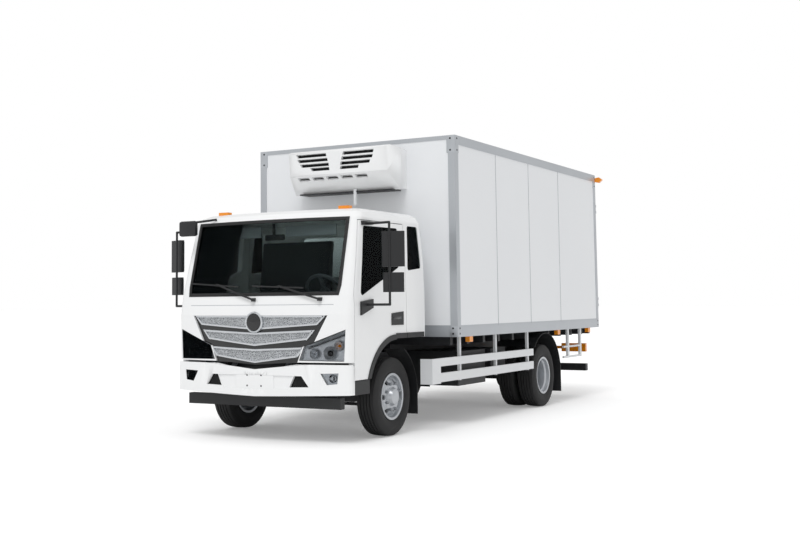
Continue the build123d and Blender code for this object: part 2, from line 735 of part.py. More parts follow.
# Edge rails: a thin cage round the panels, with the rear door frame
with BuildPart() as box_rails:
    block(-BOX_HALF, BOX_HALF, BOX_Y0, BOX_Y1, BOX_Z0, BOX_Z1)
    block(-PANEL_X, PANEL_X, PANEL_Y0, PANEL_Y1, BOX_Z0 + RAIL_T, BOX_Z1 - RAIL_T, mode=Mode.SUBTRACT)
    far = 2 * BOX_HALF
    block(
        -far,
        far,
        BOX_Y0 + POST_W,
        BOX_Y1 - POST_W,
        BOX_Z0 + SILL_H,
        BOX_Z1 - TOP_RAIL_H,
        mode=Mode.SUBTRACT,
    )
    block(
        -BOX_HALF + POST_W,
        BOX_HALF - POST_W,
        BOX_Y0 - 10,
        BOX_Y0 + 60,
        BOX_Z0 + SILL_H,
        BOX_Z1 - FRONT_RAIL_H,
        mode=Mode.SUBTRACT,
    )
    block(-BOX_HALF + 60, BOX_HALF - 60, BOX_Y0 + 60, BOX_Y1 - 60, BOX_Z0 - 10, BOX_Z1 + 10, mode=Mode.SUBTRACT)
    block(
        -INNER_X,
        INNER_X,
        BOX_Y1 - 60,
        BOX_Y1 + 10,
        FLOOR_TOP,
        DOOR_TOP + DOOR_GAP,
        mode=Mode.SUBTRACT,
    )
    for z in CARGO_HINGES_Z:
        for _, side in SIDES:
            for z0 in (z - 62, z + 27):
                block(side * (HINGE_X - 14), side * (HINGE_X + 14), BOX_Y1, HINGE_Y + 14, z0, z0 + 35)
            rod((side * HINGE_X, HINGE_Y, z - 62), (side * HINGE_X, HINGE_Y, z + 62), PIN_R)
save(box_rails, "box_rails")

# Cargo doors with recessed lock gear and strap hinges
LOCK_ROD_R = 13
LOCK_GROOVE = 36
with BuildPart() as cargo_door:
    block(
        2.5,
        INNER_X - 11,
        BOX_Y1 + DOOR_PROUD - DOOR_T,
        BOX_Y1 + DOOR_PROUD,
        FLOOR_TOP + DOOR_GAP,
        DOOR_TOP,
    )
    for x in (150, 820):
        block(
            x - 26,
            x + 26,
            BOX_Y1 + DOOR_PROUD - LOCK_GROOVE,
            BOX_Y1 + DOOR_PROUD + 5,
            FLOOR_TOP + 40,
            DOOR_TOP - 35,
            mode=Mode.SUBTRACT,
        )
        y_rod = BOX_Y1 + DOOR_PROUD - LOCK_ROD_R - 3
        rod((x, y_rod, FLOOR_TOP + 40), (x, y_rod, DOOR_TOP - 35), LOCK_ROD_R)
    for z in CARGO_HINGES_Z:
        block(HINGE_X - 300, HINGE_X - 8, BOX_Y1 + DOOR_PROUD, BOX_Y1 + DOOR_PROUD + 6, z - 24, z + 24)
        block(HINGE_X - 14, HINGE_X, BOX_Y1 + DOOR_PROUD, HINGE_Y, z - 24, z + 24)
        rod((HINGE_X, HINGE_Y, z - 24), (HINGE_X, HINGE_Y, z + 24), 14)
        rod((HINGE_X, HINGE_Y, z - 30), (HINGE_X, HINGE_Y, z + 30), PIN_R + 0.5, mode=Mode.SUBTRACT)
save_pair(cargo_door, "cargo_door")

# Cooling unit on the front wall
UNIT_HALF = 690
UNIT_FRONT_HALF = 628
UNIT_PROFILE = [
    (BOX_Y0 + RAIL_T - FIT, 2612),
    (BOX_Y0 - 145, 2600),
    (BOX_Y0 - 345, 2800),
    (BOX_Y0 - 380, 3060),
    (BOX_Y0 - 300, 3085),
    (BOX_Y0 + RAIL_T - FIT, 3050),
]
with BuildPart() as fridge_unit:
    prism_x(UNIT_PROFILE, -UNIT_HALF, UNIT_HALF, 12)
    prism_z(
        [
            (-UNIT_HALF, BOX_Y0 + 10),
            (-UNIT_HALF, BOX_Y0 - 120),
            (-UNIT_FRONT_HALF, BOX_Y0 - 385),
            (UNIT_FRONT_HALF, BOX_Y0 - 385),
            (UNIT_HALF, BOX_Y0 - 120),
            (UNIT_HALF, BOX_Y0 + 10),
        ],
        2500,
        3150,
        mode=Mode.INTERSECT,
    )
save(fridge_unit, "fridge_unit")

# Wheels: the tyre and rim sections are (place along the axle, radius)
HALF_TYRE = TYRE_W / 2
STUB_R = 32
BORE = STUB_R + FIT


def wheel_plane(x, y, side):
    """A plane through a wheel's axis: its x runs outwards, its y runs up and back."""
    lean = radians(20)
    return Plane(origin=(x, y, AXLE_Z), x_dir=(side, 0, 0), z_dir=(0, -side * cos(lean), side * sin(lean)))


def tyre(x, y, side):
    """A tyre with its middle plane at x."""
    plane = wheel_plane(x, y, side)
    with BuildPart() as ring:
        with BuildSketch(plane) as section:
            with BuildLine():
                Polyline((-HALF_TYRE + 8, 268), (-91, 240), (-91, BEAD_R + FIT), (91, BEAD_R + FIT), (91, 240))
                Line((91, 240), (HALF_TYRE - 8, 268))
                ThreePointArc((HALF_TYRE - 8, 268), (HALF_TYRE, 315), (HALF_TYRE - 13, 372))
                Line((HALF_TYRE - 13, 372), (HALF_TYRE - 26, 390))
                ThreePointArc((HALF_TYRE - 26, 390), (0, TYRE_R), (-HALF_TYRE + 26, 390))
                Line((-HALF_TYRE + 26, 390), (-HALF_TYRE + 13, 372))
                ThreePointArc((-HALF_TYRE + 13, 372), (-HALF_TYRE, 315), (-HALF_TYRE + 8, 268))
            make_face()
        revolve(axis=Axis((x, y, AXLE_Z), (1, 0, 0)))
    return ring.part


def rim(x, y, side, disc, holes):
    """A rim whose disc section is given; the barrel is the same on all wheels."""
    plane = wheel_plane(x, y, side)
    with BuildPart() as wheel:
        with BuildSketch(plane) as section:
            with BuildLine():
                Polyline(
                    (-RIM_HALF, RIM_R),
                    (-RIM_HALF + 8, RIM_R),
                    (-RIM_HALF + 9, BEAD_R),
                    (-50, BEAD_R - 2),
                    (-30, BEAD_R - 16),
                    (40, BEAD_R - 16),
                    (60, BEAD_R - 2),
                    (RIM_HALF - 9, BEAD_R),
                    (RIM_HALF - 8, RIM_R),
                    (RIM_HALF, RIM_R),
                    (RIM_HALF, RIM_R - 6),
                    (RIM_HALF - 3, BEAD_R - 10),
                    (60, BEAD_R - 14),
                    (40, BEAD_R - 28),
                    (-30, BEAD_R - 28),
                    (-50, BEAD_R - 14),
                    (-RIM_HALF + 3, BEAD_R - 10),
                    (-RIM_HALF, RIM_R - 6),
                    close=True,
                )
            make_face()
        revolve(axis=Axis((x, y, AXLE_Z), (1, 0, 0)))
        revolve(outline(plane, disc), axis=Axis((x, y, AXLE_Z), (1, 0, 0)))
        hole_plane = Plane(origin=(x - side * 400, y, AXLE_Z), x_dir=(0, 1, 0), z_dir=(side, 0, 0))
        with BuildSketch(hole_plane) as windows:
            with PolarLocations(163, holes):
                Circle(27)
        extrude(windows.sketch, amount=800, mode=Mode.SUBTRACT)
    return wheel.part


# Disc sections: place along the axle and radius, from the barrel to the hub and back
FRONT_DISC = [
    (10, 200), (44, 200), (84, 152), (95, 142), (95, 98), (104, 92), (136, 80), (142, 58), (142, 0),
    (120, 0), (120, BORE), (30, BORE), (30, 90), (80, 98), (80, 134), (66, 142), (22, 188),
]
REAR_DISC = [
    (-76, 214), (-56, 214), (-92, 156), (-104, 142), (-104, 112), (-62, 100), (-34, 84), (-28, 60),
    (-28, 0), (-44, 0), (-44, BORE), (-130, BORE), (-130, 142), (-120, 154),
]
FRONT_WHEEL_X = FRONT_OUTER_X - TYRE_W / 2
REAR_WHEEL_X = REAR_OUTER_X - TYRE_W / 2
HAND_HOLES = 6
with BuildPart() as front_tyre:
    add(tyre(FRONT_WHEEL_X, AXLE_Y, 1))
save_pair(front_tyre, "front_tyre")

with BuildPart() as front_rim:
    add(rim(FRONT_WHEEL_X, AXLE_Y, 1, FRONT_DISC, HAND_HOLES))
save_pair(front_rim, "front_rim")

with BuildPart() as rear_tyres:
    for x in (REAR_WHEEL_X, REAR_WHEEL_X - TWIN_PITCH):
        add(tyre(x, REAR_AXLE_Y, 1))
save_pair(rear_tyres, "rear_tyres")

with BuildPart() as rear_rims:
    outer_rim = rim(REAR_WHEEL_X, REAR_AXLE_Y, 1, REAR_DISC, HAND_HOLES)
    turn_axis = Axis((REAR_WHEEL_X - TWIN_PITCH / 2, REAR_AXLE_Y, 0), (0, 0, 1))
    wheel_axis = Axis((0, REAR_AXLE_Y, AXLE_Z), (1, 0, 0))
    add(outer_rim.rotate(turn_axis, 180).rotate(wheel_axis, 360 / HAND_HOLES))
    drum_x(REAR_WHEEL_X - TWIN_PITCH, REAR_WHEEL_X - TWIN_PITCH + 60, REAR_AXLE_Y, AXLE_Z, BORE, mode=Mode.SUBTRACT)
    add(outer_rim)
save_pair(rear_rims, "rear_rims")

# Front axle beam with its leaf springs
SPRING_X = 480
SPRING_W = 70
SPRING_PLY = 12
FRONT_SPRING_Z = 462           # top of the main leaf over the axle
REAR_SPRING_Z = 526
FRONT_PLIES = 4
REAR_PLIES = 5


def leaf_spring(y, z, reach, plies, x):
    """A bow of leaves, shorter towards the axle, with both eyes on the frame."""
    rise = FRAME_TOP - RAIL_H - 40 - z
    with BuildPart() as spring:
        for ply in range(plies):
            half = reach * (1 - ply / (plies + 1))
            bow = rise * (half / reach) ** 2
            drop = ply * SPRING_PLY
            with BuildSketch(Plane.YZ.offset(x - SPRING_W / 2)) as leaf:
                with BuildLine():
                    ThreePointArc((y - half, z + bow - drop), (y, z - drop), (y + half, z + bow - drop))
                    Line((y + half, z + bow - drop), (y + half, z + bow - drop - SPRING_PLY))
                    ThreePointArc(
                        (y + half, z + bow - drop - SPRING_PLY),
                        (y, z - drop - SPRING_PLY),
                        (y - half, z + bow - drop - SPRING_PLY),
                    )
                    Line((y - half, z + bow - drop - SPRING_PLY), (y - half, z + bow - drop))
                make_face()
            extrude(leaf.sketch, amount=SPRING_W)
        for place in (-reach, reach):
            drum_x(x - SPRING_W / 2, x + SPRING_W / 2, y + place, z + rise - 6, 22)
            block(
                FRAME_HALF + FIT,
                x + SPRING_W / 2,
                y + place - 30,
                y + place + 30,
                FRAME_TOP - RAIL_H - 30,
                FRAME_TOP - RAIL_H + 120,
            )
            block(
                x - SPRING_W / 2,
                x + SPRING_W / 2,
                y + place - 16,
                y + place + 16,
                z + rise,
                FRAME_TOP - RAIL_H - 20,
            )
    return spring.part


# Springs: place of the axle, height of the main leaf, half length, leaves, place across
SPRINGS = (
    (AXLE_Y, FRONT_SPRING_Z, 640, FRONT_PLIES, SPRING_X),
    (REAR_AXLE_Y, REAR_SPRING_Z, 720, REAR_PLIES, SPRING_X + 40),
)
with BuildPart() as leaf_springs:
    for row in SPRINGS:
        add(leaf_spring(*row))
    mirror(about=Plane.YZ)
save(leaf_springs, "leaf_springs")

FRONT_SEAT_Z = FRONT_SPRING_Z - FRONT_PLIES * SPRING_PLY - FIT
REAR_SEAT_Z = REAR_SPRING_Z - REAR_PLIES * SPRING_PLY - FIT
with BuildPart() as front_axle:
    prism_y(
        [
            (-KINGPIN_X, 362),
            (-650, 362),
            (-560, 330),
            (560, 330),
            (650, 362),
            (KINGPIN_X, 362),
            (KINGPIN_X, 436),
            (640, 436),
            (560, FRONT_SEAT_Z - 4),
            (-560, FRONT_SEAT_Z - 4),
            (-640, 436),
            (-KINGPIN_X, 436),
        ],
        AXLE_Y - 42,
        AXLE_Y + 42,
    )
    for _, side in SIDES:
        rod((side * KINGPIN_X, AXLE_Y, 362), (side * KINGPIN_X, AXLE_Y, 436), 42)
        rod((side * KINGPIN_X, AXLE_Y, 322), (side * KINGPIN_X, AXLE_Y, 476), 20.2)
        block(
            side * (SPRING_X - SPRING_W / 2),
            side * (SPRING_X + SPRING_W / 2),
            AXLE_Y - 60,
            AXLE_Y + 60,
            390,
            FRONT_SEAT_Z,
        )
save(front_axle, "front_axle")

with BuildPart() as rear_axle:
    drum_x(-690, 690, REAR_AXLE_Y, AXLE_Z, 62)
    drum_x(-REAR_WHEEL_X + 50, REAR_WHEEL_X - 50, REAR_AXLE_Y, AXLE_Z, STUB_R)
    with Locations((0, REAR_AXLE_Y, AXLE_Z)):
        Sphere(170)
    for _, side in SIDES:
        drum_x(side * 600, side * 680, REAR_AXLE_Y, AXLE_Z, 150)
        block(
            side * (SPRING_X + 40 - SPRING_W / 2),
            side * (SPRING_X + 40 + SPRING_W / 2),
            REAR_AXLE_Y - 60,
            REAR_AXLE_Y + 60,
            AXLE_Z,
            REAR_SEAT_Z,
        )
save(rear_axle, "rear_axle")

# Steering knuckles and tie rod
with BuildPart() as knuckle:
    for z0, z1 in ((322, 358), (440, 476)):
        rod((KINGPIN_X, AXLE_Y, z0), (KINGPIN_X, AXLE_Y, z1), 38)
        block(KINGPIN_X, KINGPIN_X + 72, AXLE_Y - 38, AXLE_Y + 38, z0, z1)
        rod((KINGPIN_X, AXLE_Y, z0 - 5), (KINGPIN_X, AXLE_Y, z1 + 5), 20.5, mode=Mode.SUBTRACT)
    block(KINGPIN_X + 48, KINGPIN_X + 80, AXLE_Y - 60, AXLE_Y + 60, 322, 476)
    drum_x(KINGPIN_X + 80, KINGPIN_X + 112, AXLE_Y, AXLE_Z, 165)
    drum_x(KINGPIN_X + 80, FRONT_WHEEL_X + 100, AXLE_Y, AXLE_Z, STUB_R)
    block(KINGPIN_X - 20, KINGPIN_X + 20, AXLE_Y + 30, AXLE_Y + ARM_Y, 322, 350)
    block(KINGPIN_X + 20, KINGPIN_X + 60, AXLE_Y + 30, AXLE_Y + 60, 322, 350)
    rod((KINGPIN_X, AXLE_Y + ARM_Y, 322), (KINGPIN_X, AXLE_Y + ARM_Y, 350), 24)
    rod((KINGPIN_X, AXLE_Y + ARM_Y, 268), (KINGPIN_X, AXLE_Y + ARM_Y, 322), 10)
save_pair(knuckle, "knuckle")

with BuildPart() as tie_rod:
    drum_x(-KINGPIN_X + 18, KINGPIN_X - 18, AXLE_Y + ARM_Y, TIE_ROD_Z, 17)
    for _, side in SIDES:
        x = side * KINGPIN_X
        rod((x, AXLE_Y + ARM_Y, TIE_ROD_Z - 23), (x, AXLE_Y + ARM_Y, TIE_ROD_Z + 23), 24)
        rod((x, AXLE_Y + ARM_Y, TIE_ROD_Z - 40), (x, AXLE_Y + ARM_Y, TIE_ROD_Z + 40), 10.5, mode=Mode.SUBTRACT)
save(tie_rod, "tie_rod")

# Engine block with gearbox and propeller shaft
with BuildPart() as engine:
    block(-240, 240, AXLE_Y - 420, AXLE_Y + 520, 490, 950)
    for y in (AXLE_Y - 200, AXLE_Y + 300):
        block(-FRAME_HALF + RAIL_WEB + FIT, FRAME_HALF - RAIL_WEB - FIT, y - 40, y + 40, 640, 700)
    rod((0, AXLE_Y + 510, 640), (0, AXLE_Y + 900, 640), 140)
    rod((0, AXLE_Y + 880, 600), (0, REAR_AXLE_Y - 172, 420), 38)
save(engine, "engine")

# Bumper with its V-shaped top edge, and the underrun bars
BUMPER_CROWN = 118
PLATE_Z = 600                  # middle of the number plate's four holes
PLATE_HOLES_X = 166
PLATE_HOLES_Z = 108
PLATE_HOLE_R = 3.5
BUMPER_WALL = 30
DOOR_SWEEP_R = DOOR_Y0 - TILT_Y - 7
# Round of the top edge about the tilt axis, which the cab's lower edge passes: (x, radius)
CREST = ((1100, 0), (1100, 86), (500, 86), (0, 74.5), (-500, 86), (-1100, 86), (-1100, 0))
BUMPER_FRONT = [
    (-BUMPER_HALF - 20, BUMPER_TOP),
    (-470, BUMPER_TOP),
    (-330, 738),
    (0, 706),
    (330, 738),
    (470, BUMPER_TOP),
    (BUMPER_HALF + 20, BUMPER_TOP),
    (BUMPER_HALF + 20, BUMPER_BOTTOM + 20),
    (0, BUMPER_BOTTOM - 10),
    (-BUMPER_HALF - 20, BUMPER_BOTTOM + 20),
]


def bumper_form(inset):
    """The bumper's plan outline, moved inwards by inset, as a tall solid."""
    half = BUMPER_HALF - inset
    y0 = NOSE_Y + inset
    y1 = DOOR_Y0 - 10
    with BuildPart() as form:
        with BuildSketch(Plane.XY.offset(BUMPER_BOTTOM - 40)) as plan:
            with BuildLine():
                ThreePointArc((-half, y0 + BUMPER_CROWN), (0, y0), (half, y0 + BUMPER_CROWN))
                Polyline((half, y0 + BUMPER_CROWN), (half, y1), (-half, y1), (-half, y0 + BUMPER_CROWN))
            make_face()
            fillet(plan.vertices().group_by(Axis.Y)[0], 60 - inset)
        extrude(plan.sketch, amount=BUMPER_TOP - BUMPER_BOTTOM + 80)
    return form.part


with BuildPart() as front_bumper:
    add(bumper_form(0))
    add(bumper_form(BUMPER_WALL), mode=Mode.SUBTRACT)
    block(
        -BUMPER_HALF - 10,
        BUMPER_HALF + 10,
        NOSE_Y - 10,
        DOOR_Y0 - 11,
        BUMPER_BOTTOM - 30,
        BUMPER_TOP + 30,
        mode=Mode.INTERSECT,
    )
    prism_y(BUMPER_FRONT, NOSE_Y - 20, DOOR_Y0 + 20, mode=Mode.INTERSECT)
    with BuildPart(mode=Mode.PRIVATE) as crest:
        block(-2 * BUMPER_HALF, 2 * BUMPER_HALF, NOSE_Y - 10, TILT_Y, TILT_Z, BUMPER_TOP + 30)
        crest_line = outline(Plane.XY.offset(TILT_Z), [(x, TILT_Y - radius) for x, radius in CREST])
        revolve(crest_line, axis=Axis((0, TILT_Y, TILT_Z), (1, 0, 0)), mode=Mode.SUBTRACT)
    add(crest.part, mode=Mode.SUBTRACT)
    with BuildPart(mode=Mode.PRIVATE) as corner:
        block(-2 * BUMPER_HALF, 2 * BUMPER_HALF, TILT_Y, DOOR_Y0, TILT_Z, BUMPER_TOP + 30)
        drum_x(-2 * BUMPER_HALF, 2 * BUMPER_HALF, TILT_Y, TILT_Z, DOOR_SWEEP_R, mode=Mode.SUBTRACT)
    add(corner.part, mode=Mode.SUBTRACT)
    for _, side in SIDES:
        block(side * 360, side * 420, NOSE_Y + BUMPER_WALL + 5, FRAME_Y0 - FIT, 560, 612)
    with BuildSketch(Plane.XZ.offset(-NOSE_Y - 60)) as plate_holes:
        with Locations((0, PLATE_Z)):
            with GridLocations(PLATE_HOLES_X, PLATE_HOLES_Z, 2, 2):
                Circle(PLATE_HOLE_R)
    extrude(plate_holes.sketch, amount=100, mode=Mode.SUBTRACT)
save(front_bumper, "front_bumper")

UNDERRUN_HALF = 908
with BuildPart() as underrun_bars:
    block(-UNDERRUN_HALF, UNDERRUN_HALF, AXLE_Y - 900, AXLE_Y - 820, 335, 443)
    block(-1150, 1150, BOX_Y1 - 215, BOX_Y1 - 125, 355, 455)
    for _, side in SIDES:
        block(side * 330, side * 400, AXLE_Y - 875, AXLE_Y - 825, 443, FRAME_TOP - RAIL_H - FIT)
        block(side * 340, side * 420, BOX_Y1 - 205, BOX_Y1 - 135, 455, FRAME_TOP - RAIL_H - FIT)
save(underrun_bars, "underrun_bars")

# Side guards between the axles and behind the rear wheels
GUARD_X = BOX_HALF - 50
GUARD_RAILS = ((508, 602), (673, 757))
GUARD_Y0 = AXLE_Y + 414
GUARD_PLATE_Y1 = AXLE_Y + 615
GUARD_Y1 = AXLE_Y + 3293
GUARD_POSTS = (1175, 2176, 3188)
with BuildPart() as side_guards:
    for z0, z1 in GUARD_RAILS:
        block(GUARD_X - 30, GUARD_X, GUARD_PLATE_Y1, GUARD_Y1, z0, z1)
    block(GUARD_X - 30, GUARD_X, GUARD_Y0, GUARD_PLATE_Y1, 495, 757)
    block(GUARD_X - 140, GUARD_X, GUARD_Y0, GUARD_Y0 + 30, 495, 757)
    for place in GUARD_POSTS:
        block(GUARD_X - 60, GUARD_X - 30, AXLE_Y + place - 20, AXLE_Y + place + 20, 495, BOX_Z0 + RAIL_T - FIT)
    mirror(about=Plane.YZ)
save(side_guards, "side_guards")

REAR_GUARD_TUBES = (598, 735)
REAR_TUBE_R = 14
REAR_TUBE_Y0 = AXLE_Y + 4420
REAR_TUBE_Y1 = AXLE_Y + 5134
REAR_GUARD_POSTS = (152, 655)  # front edges, from the tubes' front ends
with BuildPart() as rear_guards:
    tube_x = GUARD_X - REAR_TUBE_R
    for z in REAR_GUARD_TUBES:
        rod((tube_x, REAR_TUBE_Y0, z), (tube_x, REAR_TUBE_Y1, z), REAR_TUBE_R)
    for place in REAR_GUARD_POSTS:
        y = REAR_TUBE_Y0 + place
        block(
            GUARD_X - 2 * REAR_TUBE_R,
            GUARD_X,
            y,
            min(y + 60, REAR_TUBE_Y1),
            REAR_GUARD_TUBES[0] - REAR_TUBE_R,
            BOX_Z0 - FIT,
        )
    mirror(about=Plane.YZ)
save(rear_guards, "rear_guards")

# Mudguards: front flaps behind the wheels, rear arches over the twin wheels
FRONT_GUARD_R = 522
REAR_GUARD_R = 545
FLAP_BOTTOM = 180
with BuildPart() as front_mudguards:
    drum_x(770, 1010, AXLE_Y, AXLE_Z, FRONT_GUARD_R)
    drum_x(760, 1020, AXLE_Y, AXLE_Z, FRONT_GUARD_R - 6, mode=Mode.SUBTRACT)
    block(700, 1100, AXLE_Y + 180, AXLE_Y + 700, AXLE_Z, AXLE_Z + 470, mode=Mode.INTERSECT)
    block(770, 1010, AXLE_Y + FRONT_GUARD_R - 6, AXLE_Y + FRONT_GUARD_R, FLAP_BOTTOM, AXLE_Z + 1)
    block(FRAME_HALF + FIT, 772, AXLE_Y + 455, AXLE_Y + 485, 600, 640)
    mirror(about=Plane.YZ)
save(front_mudguards, "front_mudguards")

with BuildPart() as rear_mudguards:
    drum_x(700, 1240, REAR_AXLE_Y, AXLE_Z, REAR_GUARD_R)
    drum_x(690, 1250, REAR_AXLE_Y, AXLE_Z, REAR_GUARD_R - 6, mode=Mode.SUBTRACT)
    block(600, 1300, REAR_AXLE_Y - 600, REAR_AXLE_Y + 600, AXLE_Z + 100, AXLE_Z + 600, mode=Mode.INTERSECT)
    block(600, 1300, REAR_AXLE_Y - 600, REAR_AXLE_Y, 0, 775, mode=Mode.SUBTRACT)
    block(700, 1240, REAR_AXLE_Y + REAR_GUARD_R - 16, REAR_AXLE_Y + REAR_GUARD_R - 6, 160, AXLE_Z + 104)
    block(FRAME_HALF + FIT, 702, REAR_AXLE_Y + REAR_GUARD_R - 60, REAR_AXLE_Y + REAR_GUARD_R - 8, 600, 640)
    mirror(about=Plane.YZ)
save(rear_mudguards, "rear_mudguards")

# Tanks and boxes on the outside of the rails
with BuildPart() as side_gear:
    block(FRAME_HALF + 30, 1120, AXLE_Y + 1300, AXLE_Y + 2050, 420, 800)
    block(FRAME_HALF + 30, 1060, AXLE_Y + 2350, AXLE_Y + 2800, 520, 790)
    block(-1120, -FRAME_HALF - 30, AXLE_Y + 1000, AXLE_Y + 2100, 420, 800)
    drum_x(-1080, -FRAME_HALF - 30, AXLE_Y + 2500, 640, 150)
    for x0, y in ((1, 1400), (1, 1950), (1, 2400), (1, 2750), (-1, 1100), (-1, 2000)):
        block(x0 * (FRAME_HALF + FIT), x0 * (FRAME_HALF + 31), AXLE_Y + y - 30, AXLE_Y + y + 30, 610, 780)
    block(-FRAME_HALF - 31, -FRAME_HALF - FIT, AXLE_Y + 2470, AXLE_Y + 2530, 600, 700)
save(side_gear, "side_gear")

# Lamps: side markers below the sill, rear markers on short arms, tail lamps
SIDE_LAMPS = (1315, 4129, 5368)
with BuildPart() as lamps:
    for place in SIDE_LAMPS:
        block(BOX_HALF - 60, BOX_HALF - 10, AXLE_Y + place - 45, AXLE_Y + place + 45, BOX_Z0 - 62, BOX_Z0 - FIT)
    prism_y(
        [
            (BOX_HALF - 60, BOX_Z1 - 86),
            (BOX_HALF - 60, BOX_Z1 - 52),
            (BOX_HALF + 55, BOX_Z1 - 30),
            (BOX_HALF + 102, BOX_Z1 - 66),
            (BOX_HALF + 55, BOX_Z1 - 110),
        ],
        BOX_Y1 + FIT,
        REAR_END,
        8,
    )
    block(760, 1120, BOX_Y1 - 120, BOX_Y1 - 60, 620, 740)
    block(FRAME_HALF + FIT, 760, BOX_Y1 - 110, BOX_Y1 - 80, 660, 700)
    mirror(about=Plane.YZ)
save(lamps, "lamps")
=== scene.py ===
# %% [markdown]
# # Dressing a box truck
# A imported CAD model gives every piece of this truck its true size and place. This lesson
# adds what the eye needs on top: paint, rubber, glass, a mesh grille, lamps, tyre treads and
# padded seats. The fixed frame is loaded first, and all that follows is built round it, in
# metres, with the nose towards -Y and the truck's left side towards +X.

import json
from math import cos, pi, radians, sin, sqrt

import bpy
from mathutils import Matrix, Quaternion, Vector

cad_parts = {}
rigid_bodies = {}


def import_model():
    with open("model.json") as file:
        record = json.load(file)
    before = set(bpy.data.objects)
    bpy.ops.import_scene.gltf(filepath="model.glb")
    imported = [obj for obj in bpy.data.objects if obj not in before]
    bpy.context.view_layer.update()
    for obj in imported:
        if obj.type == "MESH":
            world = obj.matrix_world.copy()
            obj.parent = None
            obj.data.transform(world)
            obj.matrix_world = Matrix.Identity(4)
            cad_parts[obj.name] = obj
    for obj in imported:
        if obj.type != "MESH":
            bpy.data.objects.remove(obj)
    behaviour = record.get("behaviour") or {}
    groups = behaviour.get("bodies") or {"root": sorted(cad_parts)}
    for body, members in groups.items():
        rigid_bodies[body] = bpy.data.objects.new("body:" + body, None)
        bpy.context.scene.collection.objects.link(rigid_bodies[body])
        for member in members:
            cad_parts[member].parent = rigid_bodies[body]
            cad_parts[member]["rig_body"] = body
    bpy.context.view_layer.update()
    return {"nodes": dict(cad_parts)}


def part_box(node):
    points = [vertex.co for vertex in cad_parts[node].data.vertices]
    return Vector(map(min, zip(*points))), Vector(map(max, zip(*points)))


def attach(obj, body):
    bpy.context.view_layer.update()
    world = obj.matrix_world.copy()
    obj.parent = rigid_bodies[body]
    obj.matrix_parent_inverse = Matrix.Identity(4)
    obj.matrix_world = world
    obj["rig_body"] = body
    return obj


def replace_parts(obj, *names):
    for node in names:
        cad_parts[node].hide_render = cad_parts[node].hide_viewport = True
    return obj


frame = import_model()

# %% [markdown]
# The new pieces take their places from the CAD pieces that they sit on, so a few edges and
# centres are read from the frame. Places further down are given in metres from these or from
# the ground.

# %% Places read from the frame
front_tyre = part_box("front_tyre_left")
rear_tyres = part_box("rear_tyres_left")
box_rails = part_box("box_rails")
AXLE_Y = (front_tyre[0].y + front_tyre[1].y) / 2
AXLE_Z = (front_tyre[0].z + front_tyre[1].z) / 2
REAR_AXLE_Y = (rear_tyres[0].y + rear_tyres[1].y) / 2
BOX_Y0, BOX_HALF, BOX_TOP = box_rails[0].y, box_rails[1].x, box_rails[1].z
BOX_LENGTH = 4.830
BOX_Y1 = BOX_Y0 + BOX_LENGTH
SIDES = (("left", 1), ("right", -1))
print("front axle", round(AXLE_Y, 3), "rear axle", round(REAR_AXLE_Y, 3), "box end", round(BOX_Y1, 3))

# %% [markdown]
# ## Finishes
# Every finish starts from what the real surface is. Colours are written as sRGB hex, as a
# paint chart gives them, and one function turns them to the linear values that Blender mixes.

# %% Colour
def linear(code):
    """An sRGB hex colour as linear red, green, blue and alpha."""
    parts = [int(code[i : i + 2], 16) / 255 for i in (1, 3, 5)]
    return [c / 12.92 if c <= 0.04045 else ((c + 0.055) / 1.055) ** 2.4 for c in parts] + [1]


print("mid grey", [round(v, 3) for v in linear("#808080")])

# %% [markdown]
# All node networks here are built with one small helper. It adds a node, sets its own values,
# and fills its sockets with a number, a colour or a link from another node.

# %% Node helper
def add(owner, kind, settings=None, **inputs):
    """Adds a node to a material or world. A socket is named, or numbered as n0, n1 and so on."""
    made = owner.node_tree.nodes.new(kind)
    for key, value in (settings or {}).items():
        setattr(made, key, value)
    for key, value in inputs.items():
        numbered = key[0] == "n" and key[1:].isdigit()
        socket = made.inputs[int(key[1:]) if numbered else key.replace("_", " ")]
        if isinstance(value, bpy.types.NodeSocket):
            owner.node_tree.links.new(value, socket)
        else:
            socket.default_value = value
    return made


# %% [markdown]
# A slow change of tone over the surface keeps a big flat panel from looking like paper, and a
# fine bump gives the grain. Both patterns are sized in real millimetres and follow Object
# coordinates, so they stay on a piece when it moves. Values that are the same all over are set
# on the shader itself.

# %% Material builders
COLOUR_MIX = {"data_type": "RGBA"}
MM_PER_M = 1000
COAT_ROUGHNESS = 0.05
GRAIN_HEIGHT = 0.3  # a grain's height as a share of its width


def blank(name, roughness, metallic=0.0, coat=0.0, sheen=0.0):
    """A new material, its shader and its Object coordinates."""
    material = bpy.data.materials.new(name)
    material.use_nodes = True
    shader = material.node_tree.nodes["Principled BSDF"]
    shader.inputs["Roughness"].default_value = roughness
    shader.inputs["Metallic"].default_value = metallic
    shader.inputs["Coat Weight"].default_value = coat
    shader.inputs["Coat Roughness"].default_value = COAT_ROUGHNESS
    shader.inputs["Sheen Weight"].default_value = sheen
    return material, shader, add(material, "ShaderNodeTexCoord").outputs["Object"]


